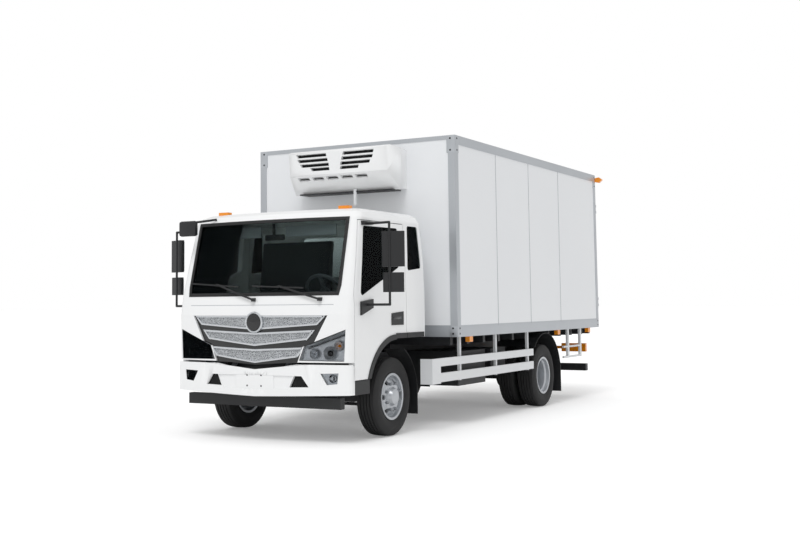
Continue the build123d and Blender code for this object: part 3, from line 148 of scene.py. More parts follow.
def finish(name, colour, shade, roughness, patch_mm=700, grain_mm=0, bump=0.0, **even):
    """A surface whose tone drifts between two colours, with a grain of a real size."""
    material, shader, place = blank(name, roughness, **even)
    join_up = material.node_tree.links.new
    patch = add(material, "ShaderNodeTexNoise", Vector=place, Scale=MM_PER_M / patch_mm, Detail=3.0)
    tone = add(
        material, "ShaderNodeMix", COLOUR_MIX,
        n0=patch.outputs[0], n6=linear(colour), n7=linear(shade),
    )
    join_up(tone.outputs[2], shader.inputs["Base Color"])
    if bump:
        grain = add(
            material, "ShaderNodeTexNoise", Vector=place, Scale=MM_PER_M / grain_mm, Detail=2.0
        )
        relief = add(
            material, "ShaderNodeBump", Strength=bump,
            Distance=grain_mm / MM_PER_M * GRAIN_HEIGHT, Height=grain.outputs[0],
        )
        join_up(relief.outputs[0], shader.inputs["Normal"])
    return material


# %% [markdown]
# Panels of the cab are enamelled steel under a clear gloss. The box is moulded gelcoat, duller
# and with a very long wave. Rails are anodised aluminium, and the wheels have silver paint.

# %% Paint and metal
# cab panels, doors and bumper: a bright white with a clear, sharp gloss
ENAMEL = finish("white_enamel", "#f4f5f5", "#eff0f1", 0.28, coat=0.6)
# insulated panels of the box: a cooler white whose reflections waver and blur
GELCOAT = finish(
    "white_gelcoat_panel", "#eceef0", "#e7e9ec", 0.38, patch_mm=1600, grain_mm=60, bump=0.03, coat=0.15
)
# edge rails and corner castings: a soft grey metal without mirror images
ALUMINIUM = finish(
    "anodised_aluminium", "#c3c7cb", "#b8bcc1", 0.36, grain_mm=6, bump=0.03, metallic=0.65
)
# side and rear guards: an off-white paint with a low gloss
GUARD_PAINT = finish("pale_painted_steel", "#e4e6e8", "#dadcde", 0.4, coat=0.2)
# ladder frame, axles, springs and tanks: a sprayed black with a slight orange peel
CHASSIS = finish(
    "black_chassis_paint", "#1d1e20", "#26272a", 0.5, patch_mm=250, grain_mm=14, bump=0.12
)
# wheel discs: a fine metallic silver under lacquer
RIM_PAINT = finish(
    "silver_rim_paint", "#c9ccd0", "#b7bbc0", 0.34, patch_mm=150, metallic=0.55, coat=0.3
)
# wheel nuts and the cargo doors' locks: a darker, clouded metal
STEEL = finish("zinc_plated_steel", "#b4b7bb", "#9fa3a8", 0.38, patch_mm=60, metallic=0.85)
# frames of the grille: the brightest metal, blurred rather than mirror-like
CHROME = finish("satin_chrome", "#d9dcdf", "#cfd2d6", 0.2, patch_mm=200, metallic=0.85)
print("paints and metals", len(bpy.data.materials))

# %% [markdown]
# Dark trim is moulded plastic with a fine grain, which breaks up its shine. Rubber is duller
# still. Seat cloth gets a little sheen, as its fibres stand up from the weave.

# %% Plastic, rubber and cloth
# arch trim, mirrors, mudguards and wipers: a moulded grain that breaks up the shine
PLASTIC = finish("black_grained_abs", "#18191b", "#202123", 0.46, grain_mm=5, bump=0.12)
# shield of the grille: black with a sharp gloss
GLOSS_BLACK = finish("gloss_black_abs", "#0e0f10", "#141517", 0.16, coat=0.5)
# tyres: a dusty, nearly matt black
RUBBER = finish("tyre_rubber", "#1b1b1c", "#252526", 0.72, patch_mm=120, grain_mm=7, bump=0.18)
# rubber round the windscreen and the cargo doors: an even dark line
SEAL = finish("epdm_seal", "#111213", "#171819", 0.6)
# dashboard and cab floor: a mid grey that doesn't reflect in the windscreen
CABIN = finish("grey_cabin_plastic", "#5c5f64", "#66696e", 0.6, grain_mm=4, bump=0.15)
# visors and the lamps' light strip: a pale matt grey
TRIM_PALE = finish("pale_headlining", "#a9acb0", "#9fa2a7", 0.8, grain_mm=5, bump=0.1)
# seats: dark cloth that brightens a little towards its edges
FABRIC = finish("woven_seat_cloth", "#2b2d31", "#34373c", 0.9, grain_mm=4, bump=0.4, sheen=0.3)
# joints between panels: a thin line a little darker than the panels
SEAM = finish("grey_seam_sealant", "#b9bcc0", "#aeb1b5", 0.7)
# painted shade: a near-black for the backs of openings, which hardly any light reaches
PAINTED_SHADE = finish("shadowed_recess", "#08090a", "#0d0e0f", 0.9)
print("with plastics", len(bpy.data.materials))

# %% [markdown]
# Lamps need a coloured lens and a bright dimpled reflector behind it. Mirror glass is smooth
# metal, because what shines in a mirror is its silver back.

# %% Lenses, reflector and mirror
# turn, side and marker lamps: a clear orange plastic
AMBER = finish("amber_lens", "#f08a12", "#f59a22", 0.2, coat=0.5)
# tail lamps: a clear red plastic
RED = finish("red_lens", "#b3141a", "#c11f25", 0.2, coat=0.5)
# lining of the lamps: a silvered plastic whose dimples scatter the light
REFLECTOR = finish(
    "aluminised_reflector", "#e9ebee", "#d3d7dc", 0.25, patch_mm=30, grain_mm=18, bump=0.4, metallic=0.45
)
# mirrors: a smooth silver that shows a sharp image
MIRROR = finish("silvered_mirror_glass", "#dfe3e6", "#d5d9dd", 0.03, metallic=1.0)
print("with lamps", len(bpy.data.materials))

# %% [markdown]
# A window could be a refracting solid, but a thin pane hardly bends light and a refracting one
# is slow and dark. So a pane here is a transparent shader that a glossy one covers more and
# more towards the edge of view, by the Fresnel law of glass.

# %% Sheet glass
GLASS_IOR, GLASS_ROUGHNESS = 1.45, 0.03
TINT_SHADE, TINT_SCALE = 0.96, 2.0


def glass(name, colour, clear):
    """A thin pane that lets most light straight through and shines on its face."""
    material, shader, place = blank(name, GLASS_ROUGHNESS)
    wave = add(material, "ShaderNodeTexNoise", Vector=place, Scale=TINT_SCALE)
    tint = linear(colour)
    tone = add(
        material, "ShaderNodeMix", COLOUR_MIX,
        n0=wave.outputs[0], n6=tint, n7=[c * TINT_SHADE for c in tint[:3]] + [1],
    )
    see = add(material, "ShaderNodeBsdfTransparent", Color=tone.outputs[2])
    edge = add(material, "ShaderNodeFresnel", IOR=GLASS_IOR)
    share = add(
        material, "ShaderNodeMath", {"operation": "MAXIMUM"}, n0=edge.outputs[0], n1=1 - clear
    )
    blend = add(
        material, "ShaderNodeMixShader",
        n0=share.outputs[0], n1=see.outputs[0], n2=shader.outputs[0],
    )
    shader.inputs["Base Color"].default_value = linear("#101416")
    end = material.node_tree.nodes["Material Output"]
    material.node_tree.links.new(blend.outputs[0], end.inputs["Surface"])
    return material


# windows: a faint green tint
WINDOW = glass("tinted_window_glass", "#edf3f2", 0.95)
# covers of the headlamps and fog lamps: hardly any colour
LENS = glass("clear_polycarbonate_lens", "#fafbfc", 0.95)
print("with glass", len(bpy.data.materials))

# %% [markdown]
# The grille's insert is expanded metal mesh, thousands of small openings. Modelling each would
# cost more than it shows, so a cell pattern turned on its corner draws bright wires and gaps
# painted darker as the shade in the openings, with a bump to sink the gaps. Its cells are larger
# than the real ones, which would blur to an even grey at this distance.

# %% Grille mesh
MESH_CELL_MM = 16
MESH, mesh_shader, mesh_place = blank("expanded_grille_mesh", 0.4, metallic=0.55)
mesh_turned = add(MESH, "ShaderNodeMapping", Vector=mesh_place, Rotation=(0, radians(45), 0))
mesh_cells = add(
    MESH, "ShaderNodeTexVoronoi", {"feature": "DISTANCE_TO_EDGE"},
    Vector=mesh_turned.outputs[0], Scale=MM_PER_M / MESH_CELL_MM,
)
mesh_gap_depth_and_shade = add(
    MESH, "ShaderNodeMapRange", n0=mesh_cells.outputs[0], n1=0.05, n2=0.22, n3=0.0, n4=1.0
)
# the middles of the cells take the darker grey, painted shade for the openings of the mesh
mesh_wire_and_gap_shade = add(
    MESH, "ShaderNodeMix", COLOUR_MIX,
    n0=mesh_gap_depth_and_shade.outputs[0], n6=linear("#c4c7ca"), n7=linear("#74777b"),
)
mesh_relief = add(
    MESH, "ShaderNodeBump", {"invert": True},
    Strength=0.8, Distance=0.004, Height=mesh_gap_depth_and_shade.outputs[0],
)
MESH.node_tree.links.new(mesh_wire_and_gap_shade.outputs[2], mesh_shader.inputs["Base Color"])
MESH.node_tree.links.new(mesh_relief.outputs[0], mesh_shader.inputs["Normal"])
print("all finishes", len(bpy.data.materials))

# %% [markdown]
# ## Finish the CAD pieces
# The solids that already have the right shape only need their real material. Each CAD node is
# given one finish here.

# %% Finishes by node
NODE_FINISHES = (
    (ENAMEL, "cab_front cab_side_left cab_side_right cab_back cab_roof door_left door_right"),
    (GELCOAT, "box_side_left box_side_right box_front_wall box_roof"),
    (GELCOAT, "cargo_door_left cargo_door_right"),
    (ALUMINIUM, "box_rails box_floor"),
    (CHASSIS, "frame subframe leaf_springs front_axle rear_axle engine side_gear"),
    (CHASSIS, "knuckle_left knuckle_right tie_rod"),
    (GUARD_PAINT, "side_guards rear_guards"),
    (PLASTIC, "front_mudguards rear_mudguards cab_trim wipers underrun_bars"),
    (PLASTIC, "door_fittings_left door_fittings_right"),
    (GLOSS_BLACK, "grille"),
    (CABIN, "cab_floor dashboard"),
    (RIM_PAINT, "front_rim_left front_rim_right rear_rims_left rear_rims_right"),
    (WINDOW, "cab_glass door_glass_left door_glass_right"),
    (AMBER, "roof_lamps lamps"),
)
for material, names in NODE_FINISHES:
    for name in names.split():
        skin = frame["nodes"][name].data
        skin.materials.clear()
        skin.materials.append(material)
print("finished nodes", sum(len(names.split()) for _, names in NODE_FINISHES))

# %% [markdown]
# ## Modelling helpers
# A new piece is shaped in edit mode, and ends with its modifiers applied and its place in its
# mesh. `settle` does that last part for all of them. It also mounts the piece on its body, so
# that it moves with the joint.

# %% Select, settle and soften
SOFT_EDGE = radians(40)


def clear():
    """Leaves edit mode and selects nothing, because an operator acts on all that is selected."""
    if bpy.context.object and bpy.context.object.mode != "OBJECT":
        bpy.ops.object.mode_set(mode="OBJECT")
    bpy.ops.object.select_all(action="DESELECT")


def only(obj):
    """Selects one object alone."""
    clear()
    obj.select_set(True)
    bpy.context.view_layer.objects.active = obj


def settle(obj, name, body, material, smooth=30):
    """Applies what is on a piece, names it, finishes it and mounts it on its body."""
    only(obj)
    for modifier in list(obj.modifiers):
        bpy.ops.object.modifier_apply(modifier=modifier.name)
    bpy.ops.object.transform_apply(location=True, rotation=True, scale=True)
    bpy.ops.object.shade_smooth_by_angle(angle=radians(smooth))
    obj.name = name
    obj.data.name = name
    obj.data.materials.clear()
    obj.data.materials.append(material)
    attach(obj, body)
    return obj


def soften(obj, width):
    """A bevel on the sharp edges only."""
    edge = obj.modifiers.new("Bevel", "BEVEL")
    edge.width, edge.segments = width, 2
    edge.limit_method, edge.angle_limit = "ANGLE", SOFT_EDGE
    return obj


# %% [markdown]
# Three kinds of stock make the small fittings: a cube bevelled to a rounded bar, a cylinder
# softened to a tube, and a section spun as on a lathe. A spun section comes out with doubled
# points where it closes and may be inside out, so its doubles are merged and its faces are
# turned outwards.

# %% Bar, tube and turned stock
PIN = 0.0005  # a turned section starts this far from its axis


def bevelled_block(size, centre, bevel):
    """A cube of a real size with all its edges rounded in edit mode."""
    clear()
    bpy.ops.mesh.primitive_cube_add(size=1, location=centre)
    obj = bpy.context.object
    obj.scale = size
    bpy.ops.object.transform_apply(location=True, rotation=True, scale=True)
    bpy.ops.object.mode_set(mode="EDIT")
    bpy.ops.mesh.select_all(action="SELECT")
    bpy.ops.mesh.bevel(offset=bevel, segments=2, affect="EDGES")
    bpy.ops.object.mode_set(mode="OBJECT")
    return obj


def bar(name, low, high, body, material, bevel=0.003):
    """A rounded bar between two corners."""
    size = [b - a for a, b in zip(low, high)]
    centre = [(a + b) / 2 for a, b in zip(low, high)]
    return settle(bevelled_block(size, centre, bevel), name, body, material)


def tube(name, start, end, radius, body, material, sides=32, bevel=0.002):
    """A round bar between two points, its rims softened."""
    clear()
    way = Vector(end) - Vector(start)
    bpy.ops.mesh.primitive_cylinder_add(
        vertices=sides, radius=radius, depth=way.length,
        location=(Vector(start) + Vector(end)) / 2,
        rotation=way.to_track_quat("Z", "Y").to_euler(),
    )
    obj = bpy.context.object
    bpy.ops.object.transform_apply(location=True, rotation=True, scale=True)
    return settle(soften(obj, bevel), name, body, material)


def turned(name, section, centre, axis, body, material, steps=64):
    """A closed section of (along, radius) points spun about an axis."""
    clear()
    axis = Vector(axis).normalized()
    out = axis.orthogonal().normalized()
    points = [Vector(centre) + axis * along + out * radius for along, radius in section]
    mesh = bpy.data.meshes.new(name)
    mesh.from_pydata(points, [(i, (i + 1) % len(points)) for i in range(len(points))], [])
    obj = bpy.data.objects.new(name, mesh)
    bpy.context.scene.collection.objects.link(obj)
    only(obj)
    bpy.ops.object.mode_set(mode="EDIT")
    bpy.ops.mesh.select_all(action="SELECT")
    bpy.ops.mesh.spin(steps=steps, angle=2 * pi, center=centre, axis=axis)
    bpy.ops.mesh.select_all(action="SELECT")
    bpy.ops.mesh.remove_doubles(threshold=1e-5)
    bpy.ops.mesh.normals_make_consistent(inside=False)
    return settle(obj, name, body, material, smooth=35)


# %% [markdown]
# What stands on both sides of the truck is modelled once, on the left, and mirrored. Scaling
# by minus one turns a mesh inside out, so its faces are flipped back. What belongs together on
# one body is joined to one piece.

# %% Twin and join
def twin(obj, name, body=None):
    """The mirror image of a finished piece on the truck's other side."""
    other = obj.copy()
    other.data = obj.data.copy()
    other.parent = None
    bpy.context.scene.collection.objects.link(other)
    other.data.transform(Matrix.Scale(-1, 4, (1, 0, 0)))
    other.data.flip_normals()
    other.name = name
    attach(other, body or obj["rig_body"])
    return other


def join(pieces, name):
    """Makes one piece of several on the same body."""
    only(pieces[0])
    for piece in pieces:
        piece.select_set(True)
    bpy.ops.object.join()
    pieces[0].name = name
    return pieces[0]


# %% [markdown]
# Two CAD pieces get openings cut into them, and the seats are reshaped. The CAD mesh itself is
# never touched: a copy is taken, and its loose triangles are merged to one skin first.

# %% Copy a CAD piece
def merged_copy(node):
    """A free copy of a CAD node with its loose triangles merged."""
    copy = frame["nodes"][node].copy()
    copy.data = copy.data.copy()
    for key in list(copy.keys()):
        del copy[key]
    copy.parent = None
    bpy.context.scene.collection.objects.link(copy)
    only(copy)
    bpy.ops.object.mode_set(mode="EDIT")
    bpy.ops.mesh.select_all(action="SELECT")
    bpy.ops.mesh.remove_doubles(threshold=2e-5)
    bpy.ops.object.mode_set(mode="OBJECT")
    return copy


def carve(node, cutters, name, body, material):
    """A copy of a CAD node with cutters taken out of it; it then stands for the node."""
    copy = merged_copy(node)
    for cutter in cutters:
        cut = copy.modifiers.new("Boolean", "BOOLEAN")
        cut.object, cut.operation, cut.solver = cutter, "DIFFERENCE", "EXACT"
    piece = settle(copy, name, body, material)
    for cutter in cutters:
        bpy.data.objects.remove(cutter)
    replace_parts(piece, node)
    print(name, len(piece.data.polygons), "faces after", len(cutters), "cuts")


# %% [markdown]
# ## Faces that bow
# The cab's front and the bumper are both bowed in plan. The cab's face also leans back in
# steps as it rises. Each face is written as a function that says how far back it is at a place
# of the front view, so that every lamp and frame follows the face that carries it.

# %% The two bowed faces
# height and distance ahead of the axle of the cab's face in the middle
FACE_LINE = (
    (0.5, -1.022), (1.24, -1.025), (1.43, -0.99), (1.8, -0.893), (2.19, -0.79), (2.25, -0.738),
)
BUMPER_NOSE = -1.035


def bow_radius(half, crown):
    """The radius of an arc that rises by its crown over half its width."""
    return (half**2 + crown**2) / (2 * crown)


FACE_R = bow_radius(1.038, 0.11)
BUMPER_R = bow_radius(1.04, 0.118)


def cab_face(x, z, depth):
    """How far back the cab's front is at a place of the front view."""
    for (z0, y0), (z1, y1) in zip(FACE_LINE, FACE_LINE[1:]):
        if z <= z1:
            break
    front = y0 + (y1 - y0) * (z - z0) / (z1 - z0)
    return AXLE_Y + front + FACE_R - sqrt(FACE_R**2 - x * x) + depth


def bumper_face(x, z, depth):
    """How far back the bumper's front is."""
    return AXLE_Y + BUMPER_NOSE + BUMPER_R - sqrt(BUMPER_R**2 - x * x) + depth


print("cab face bows", round(cab_face(1, 1, 0) - cab_face(0, 1, 0), 3))

# %% [markdown]
# A panel on such a face starts as a flat grid. The bisect tool trims it along each side of its
# outline, which leaves even small faces inside, and these let the sheet follow the bow when
# its points are laid on the face. Solidify then gives it its thickness, inwards.

# %% Panels on a bowed face
GRID_STEP = 0.03


def sheet(outline, step, both_sides):
    """A flat grid in the front view, bisected along each side of a convex outline."""
    clear()
    xs, zs = [p[0] for p in outline], [p[1] for p in outline]
    wide, high = max(xs) - min(xs), max(zs) - min(zs)
    bpy.ops.mesh.primitive_grid_add(
        x_subdivisions=max(2, round(wide / step)), y_subdivisions=max(2, round(high / step)),
        size=1, location=((max(xs) + min(xs)) / 2, 0, (max(zs) + min(zs)) / 2),
        rotation=(pi / 2, 0, 0),
    )
    obj = bpy.context.object
    obj.scale = (wide, high, 1)
    bpy.ops.object.transform_apply(location=True, rotation=True, scale=True)
    middle = Vector((sum(xs) / len(xs), 0, sum(zs) / len(zs)))
    bpy.ops.object.mode_set(mode="EDIT")
    for a, b in zip(outline, outline[1:] + outline[:1]):
        corner = Vector((a[0], 0, a[1]))
        away = Vector((b[1] - a[1], 0, a[0] - b[0])).normalized()
        if away.dot(middle - corner) > 0:
            away = -away
        bpy.ops.mesh.select_all(action="SELECT")
        bpy.ops.mesh.bisect(plane_co=corner, plane_no=away, clear_outer=True, use_fill=False)
    bpy.ops.object.mode_set(mode="OBJECT")
    if both_sides:
        half = obj.modifiers.new("Mirror", "MIRROR")
        half.merge_threshold = 1e-4
        bpy.ops.object.modifier_apply(modifier="Mirror")
    return obj


def lay(obj, face, depth, thick, bevel):
    """Lays a flat sheet on a bowed face and gives it thickness and a soft rim."""
    for point in obj.data.vertices:
        point.co.y = face(point.co.x, point.co.z, depth)
    wall = obj.modifiers.new("Solidify", "SOLIDIFY")
    wall.thickness = thick
    return soften(obj, bevel) if bevel else obj


def panel(name, outline, face, depth, thick, body, material, both_sides=False, step=GRID_STEP, bevel=0):
    """A panel on a bowed face inside a convex outline."""
    obj = lay(sheet(outline, step, both_sides), face, depth, thick, bevel)
    return settle(obj, name, body, material)


# %% [markdown]
# A framed panel is one sheet cut in two: the inset tool draws an even rim inside the edge, the
# inner part is separated from it, and each part gets its own thickness and finish.

# %% Framed panels
FILL_DEPTH, FILL_THICK = 0.6, 0.4  # of the frame's own thickness


def framed(name, outline, face, depth, rim, finishes, both_sides=False, proud=0.012, bevel=0.004):
    """A panel of the cab with a raised frame round it."""
    obj = sheet(outline, GRID_STEP, both_sides)
    only(obj)
    bpy.ops.object.mode_set(mode="EDIT")
    bpy.context.tool_settings.mesh_select_mode = (False, False, True)
    bpy.ops.mesh.select_all(action="SELECT")
    bpy.ops.mesh.inset(thickness=rim, depth=0)
    bpy.ops.mesh.separate(type="SELECTED")
    bpy.ops.object.mode_set(mode="OBJECT")
    fill = [o for o in bpy.context.selected_objects if o is not obj][0]
    lay(obj, face, depth, proud, bevel)
    lay(fill, face, depth + proud * FILL_DEPTH, proud * FILL_THICK, 0)
    ring = settle(obj, name + "_frame", "cab", finishes[0])
    return ring, settle(fill, name + "_fill", "cab", finishes[1])


# %% [markdown]
# ## Grille
# The grille is a dark shield with three bright frames, each round a band of fine mesh. The
# lower edges sink to a point in the middle, so half of each outline is drawn and mirrored. A
# plain turned disc sits over the top band.

# %% Grille bands and disc
GRILLE_BANDS = (
    [(0, 1.232), (0.790, 1.232), (0.742, 1.186), (0.700, 1.140), (0, 1.092)],
    [(0, 1.062), (0.672, 1.092), (0.590, 0.998), (0, 0.934)],
    [(0, 0.902), (0.560, 0.926), (0.486, 0.830), (0, 0.768)],
)
BAND_DEPTH, BAND_RIM = 0.004, 0.018
DISC_Z, DISC_STEPS = 1.166, 72
DISC_RIM = (
    (0.045, PIN), (0.045, 0.104), (-0.012, 0.104), (-0.02, 0.098),
    (-0.02, 0.09), (-0.008, 0.082), (-0.012, PIN),
)
DISC_FACE = ((-0.006, PIN), (-0.006, 0.083), (-0.014, 0.081), (-0.018, PIN))
for number, half in enumerate(GRILLE_BANDS):
    framed(
        f"grille_band_{number}", half, cab_face, BAND_DEPTH, BAND_RIM, (CHROME, MESH),
        both_sides=True, proud=BAND_RIM,
    )
disc_at = (0, cab_face(0, DISC_Z, 0), DISC_Z)
turned("grille_disc_rim", DISC_RIM, disc_at, (0, 1, 0), "cab", CHROME, DISC_STEPS)
turned("grille_disc_face", DISC_FACE, disc_at, (0, 1, 0), "cab", GLOSS_BLACK, DISC_STEPS)
print("grille bands", len(GRILLE_BANDS))

# %% [markdown]
# ## Windscreen seal and panel seam
# The windscreen sits in a black rubber seal. It is the frame of a framed panel whose middle is
# thrown away, because the CAD pane is already there. Below it a seam runs across the face
# where the wiper panel meets the front panel.

# %% Seal and seam
SCREEN = [
    (-0.905, 1.424), (-0.92, 1.52), (-0.915, 2.195),
    (0.915, 2.195), (0.92, 1.52), (0.905, 1.424),
]
SEAL_WIDTH = 0.034
SEAM_LINE = [(-0.86, 1.332), (0.86, 1.332), (0.86, 1.338), (-0.86, 1.338)]
seal, spare = framed(
    "windscreen_seal", SCREEN, cab_face, -0.004, SEAL_WIDTH, (SEAL, SEAL), bevel=0.003
)
bpy.data.objects.remove(spare)
panel("wiper_panel_seam", SEAM_LINE, cab_face, -0.0006, 0.002, "cab", SEAM)
print("seal faces", len(seal.data.polygons))

# %% [markdown]
# ## Headlamps
# Each lamp is a pocket lined with a bright reflector, with a projector, two bulbs and a strip
# of light along the top, behind a clear cover that follows the cab's corner. The liner, strip,
# brow and cover are panels on the cab's face at four depths.

# %% Lamp linings
LAMP = [(0.559, 0.934), (0.507, 0.800), (0.966, 0.796), (0.981, 1.090)]
LAMP_STRIP = [(0.575, 0.914), (0.572, 0.934), (0.972, 1.078), (0.972, 1.05)]
LAMP_BROW = [(0.60, 0.905), (0.60, 0.914), (0.97, 1.045), (0.97, 1.034)]
lamp_parts = [
    panel("lamp_liner", LAMP, cab_face, 0.050, 0.004, "cab", REFLECTOR),
    panel("lamp_strip", LAMP_STRIP, cab_face, 0.012, 0.02, "cab", TRIM_PALE, bevel=0.003),
    panel("lamp_brow", LAMP_BROW, cab_face, 0.01, 0.035, "cab", GLOSS_BLACK),
]
print("lamp linings", len(lamp_parts))

# %% [markdown]
# A bulb sits in a turned cup and ends in a turned dome. The three differ in place, size and
# colour only, so they are one loop over a table.

# %% Lamp bulbs and cover
BULB_DEPTH, CUP_WALL = 0.048, 0.004
# name, place in the front view, cup radius, dome finish and dome size as a share of the cup
BULBS = (
    ("projector", 0.812, 0.868, 0.062, GLOSS_BLACK, 0.5),
    ("side_bulb", 0.655, 0.860, 0.045, CHROME, 0.34),
    ("turn_bulb", 0.905, 0.940, 0.045, AMBER, 0.34),
)
for name, x, z, radius, dome_finish, share in BULBS:
    at = (x, cab_face(x, z, BULB_DEPTH), z)
    cup = (
        (0, PIN), (-0.004, radius * 0.5), (-0.034, radius), (-0.03, radius + CUP_WALL),
        (0.002, radius * 0.6), (0.004, PIN),
    )
    size = radius * share
    dome = ((0, PIN), (0, size), (-0.02, size * 0.9), (-0.032, size * 0.5), (-0.036, PIN))
    lamp_parts.append(turned("lamp_" + name, cup, at, (0, 1, 0), "cab", REFLECTOR, 40))
    lamp_parts.append(turned("lamp_core_" + name, dome, at, (0, 1, 0), "cab", dome_finish, 32))
cover = panel("lamp_cover", LAMP, cab_face, 0.001, 0.003, "cab", LENS)
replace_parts(cover, "headlamps")
for part in lamp_parts + [cover]:
    twin(part, part.name + "_right")
print("pieces of one headlamp", len(lamp_parts) + 1)

# %% [markdown]
# ## Bumper
# The bumper's shallow mouth, its fog lamps and its air openings are cut out of a copy of the
# CAD bumper with boolean cutters, because real openings throw real shadows. Each cutter is a
# thick panel that starts a little ahead of the bumper's face.

# %% Cut the bumper
FOG = [(0.735, 0.676), (0.918, 0.682), (0.905, 0.580), (0.800, 0.570)]
VENT = [(0.455, 0.650), (0.535, 0.650), (0.612, 0.545), (0.405, 0.540)]
MOUTH = [(0, 0.654), (0.445, 0.650), (0.392, 0.524), (0, 0.516)]
CUT_AHEAD, MOUTH_CUT, POCKET_CUT = -0.01, 0.022, 0.036
cutters = [
    panel("cut_mouth", MOUTH, bumper_face, CUT_AHEAD, MOUTH_CUT, "chassis", PLASTIC, both_sides=True)
]
for outline in (FOG, VENT):
    cutter = panel("cut", outline, bumper_face, CUT_AHEAD, POCKET_CUT, "chassis", PLASTIC)
    cutters += [cutter, twin(cutter, "cut_right")]
carve("front_bumper", cutters, "bumper_skin", "chassis", ENAMEL)

# %% [markdown]
# A raised plinth in the mouth carries four fixing holes. Plugs painted near-black, the shade
# inside a hole, stand for the holes: at this size nothing inside them would show.

# %% Plinth and its holes
PLINTH = [(0, 0.662), (0.226, 0.662), (0.230, 0.508), (0, 0.508)]
HOLE_RADIUS = 0.009
panel(
    "plate_plinth", PLINTH, bumper_face, 0.003, 0.012, "chassis", ENAMEL,
    both_sides=True, bevel=0.004,
)
for column, x in (("a", -0.083), ("b", 0.083)):
    for row, z in (("low", 0.546), ("high", 0.650)):
        y = bumper_face(x, z, 0)
        # each plug is painted shade, standing for the dark inside of a hole
        tube(
            f"plate_hole_{column}_{row}", (x, y + 0.0022, z), (x, y + 0.01, z),
            HOLE_RADIUS, "chassis", PAINTED_SHADE, 20, 0.0005,
        )
print("plinth width", 2 * PLINTH[1][0])

# %% [markdown]
# The air openings get a near-black floor, which paints the shade inside them. A fog lamp has a
# reflector lining, one turned bulb and a clear cover.

# %% Vents and fog lamps
POCKET_FLOOR = 0.024
FOG_X, FOG_Z = 0.85, 0.63
FOG_CUP = (
    (0, PIN), (-0.002, 0.02), (-0.016, 0.036), (-0.013, 0.04), (0.003, 0.02), (0.003, PIN),
)
fog_at = (FOG_X, bumper_face(FOG_X, FOG_Z, POCKET_FLOOR), FOG_Z)
pockets = [
    # the vents' floor is painted shade
    panel("bumper_vent_shade_floor", VENT, bumper_face, POCKET_FLOOR, 0.003, "chassis", PAINTED_SHADE),
    panel("fog_liner", FOG, bumper_face, POCKET_FLOOR, 0.003, "chassis", REFLECTOR),
    panel("fog_cover", FOG, bumper_face, 0.002, 0.003, "chassis", LENS),
    turned("fog_bulb", FOG_CUP, fog_at, (0, 1, 0), "chassis", CHROME, 32),
]
for piece in pockets:
    twin(piece, piece.name + "_right")
print("pocket pieces a side", len(pockets))

# %% [markdown]
# ## Tyres
# Road tyres of this size have a ribbed tread: round grooves between solid ribs. The grooves run
# round the tyre, so one section drawn with its grooves and spun gives them all. Each new tyre
# stands for the smooth CAD one.

# %% Tread section
TREAD_R, TREAD_CROWN, SHOULDER = 0.3975, 0.006, 0.092
GROOVES, GROOVE_HALF, GROOVE_DEPTH, GROOVE_FLOOR = (0.054, 0.018, -0.018, -0.054), 0.005, 0.012, 0.6
SIDEWALL = [
    (0.0905, 0.2228), (0.0905, 0.24), (0.109, 0.268), (0.1145, 0.29), (0.1165, 0.315),
    (0.114, 0.345), (0.104, 0.371), (0.1, 0.381), (SHOULDER, 0.3905),
]
tread = []
for groove in GROOVES:
    top = TREAD_R - TREAD_CROWN * (groove / SHOULDER) ** 2
    floor_half = GROOVE_HALF * GROOVE_FLOOR
    tread += [(groove + GROOVE_HALF, top), (groove + floor_half, top - GROOVE_DEPTH)]
    tread += [(groove - floor_half, top - GROOVE_DEPTH), (groove - GROOVE_HALF, top)]
TYRE_SECTION = SIDEWALL + tread + [(-along, radius) for along, radius in reversed(SIDEWALL)]
print("points of the tyre's section", len(TYRE_SECTION))

# %% [markdown]
# The front wheels are single and the rear ones are twins, a fixed pitch apart.

# %% Ribbed tyres
TWIN_PITCH, TYRE_HALF, TYRE_STEPS = 0.265, 0.1175, 112


def tyre(name, x, y, body):
    """One ribbed tyre standing on the ground."""
    return turned(name, TYRE_SECTION, (x, y, AXLE_Z), (1, 0, 0), body, RUBBER, TYRE_STEPS)


front_x = (front_tyre[0].x + front_tyre[1].x) / 2
rear_x = rear_tyres[1].x - TYRE_HALF
for side, sign in SIDES:
    front = tyre("ribbed_tyre_front_" + side, sign * front_x, AXLE_Y, "front_wheel_" + side)
    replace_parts(front, "front_tyre_" + side)
    rears = [
        tyre(
            f"ribbed_tyre_rear_{side}_{i}", sign * (rear_x - i * TWIN_PITCH),
            REAR_AXLE_Y, "rear_wheels_" + side,
        )
        for i in (0, 1)
    ]
    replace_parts(join(rears, "ribbed_tyres_rear_" + side), "rear_tyres_" + side)
print("faces of a tyre", len(front.data.polygons))

# %% [markdown]
# ## Wheel nuts
# Eight studs hold each wheel. A nut is a six-sided tube with its stud through it. Each one is
# dropped on the rim's own surface by a ray cast from outside, because the rims are dished and
# the nuts must sit at the bottom of the dish.

# %% Nuts
NUT_COUNT, NUT_CIRCLE, RAY_FROM_X = 8, 0.1375, 1.6
NUT_RADIUS, STUD_RADIUS = 0.0165, 0.009
NUT_SINK, NUT_HEIGHT, STUD_HEIGHT = 0.004, 0.024, 0.034


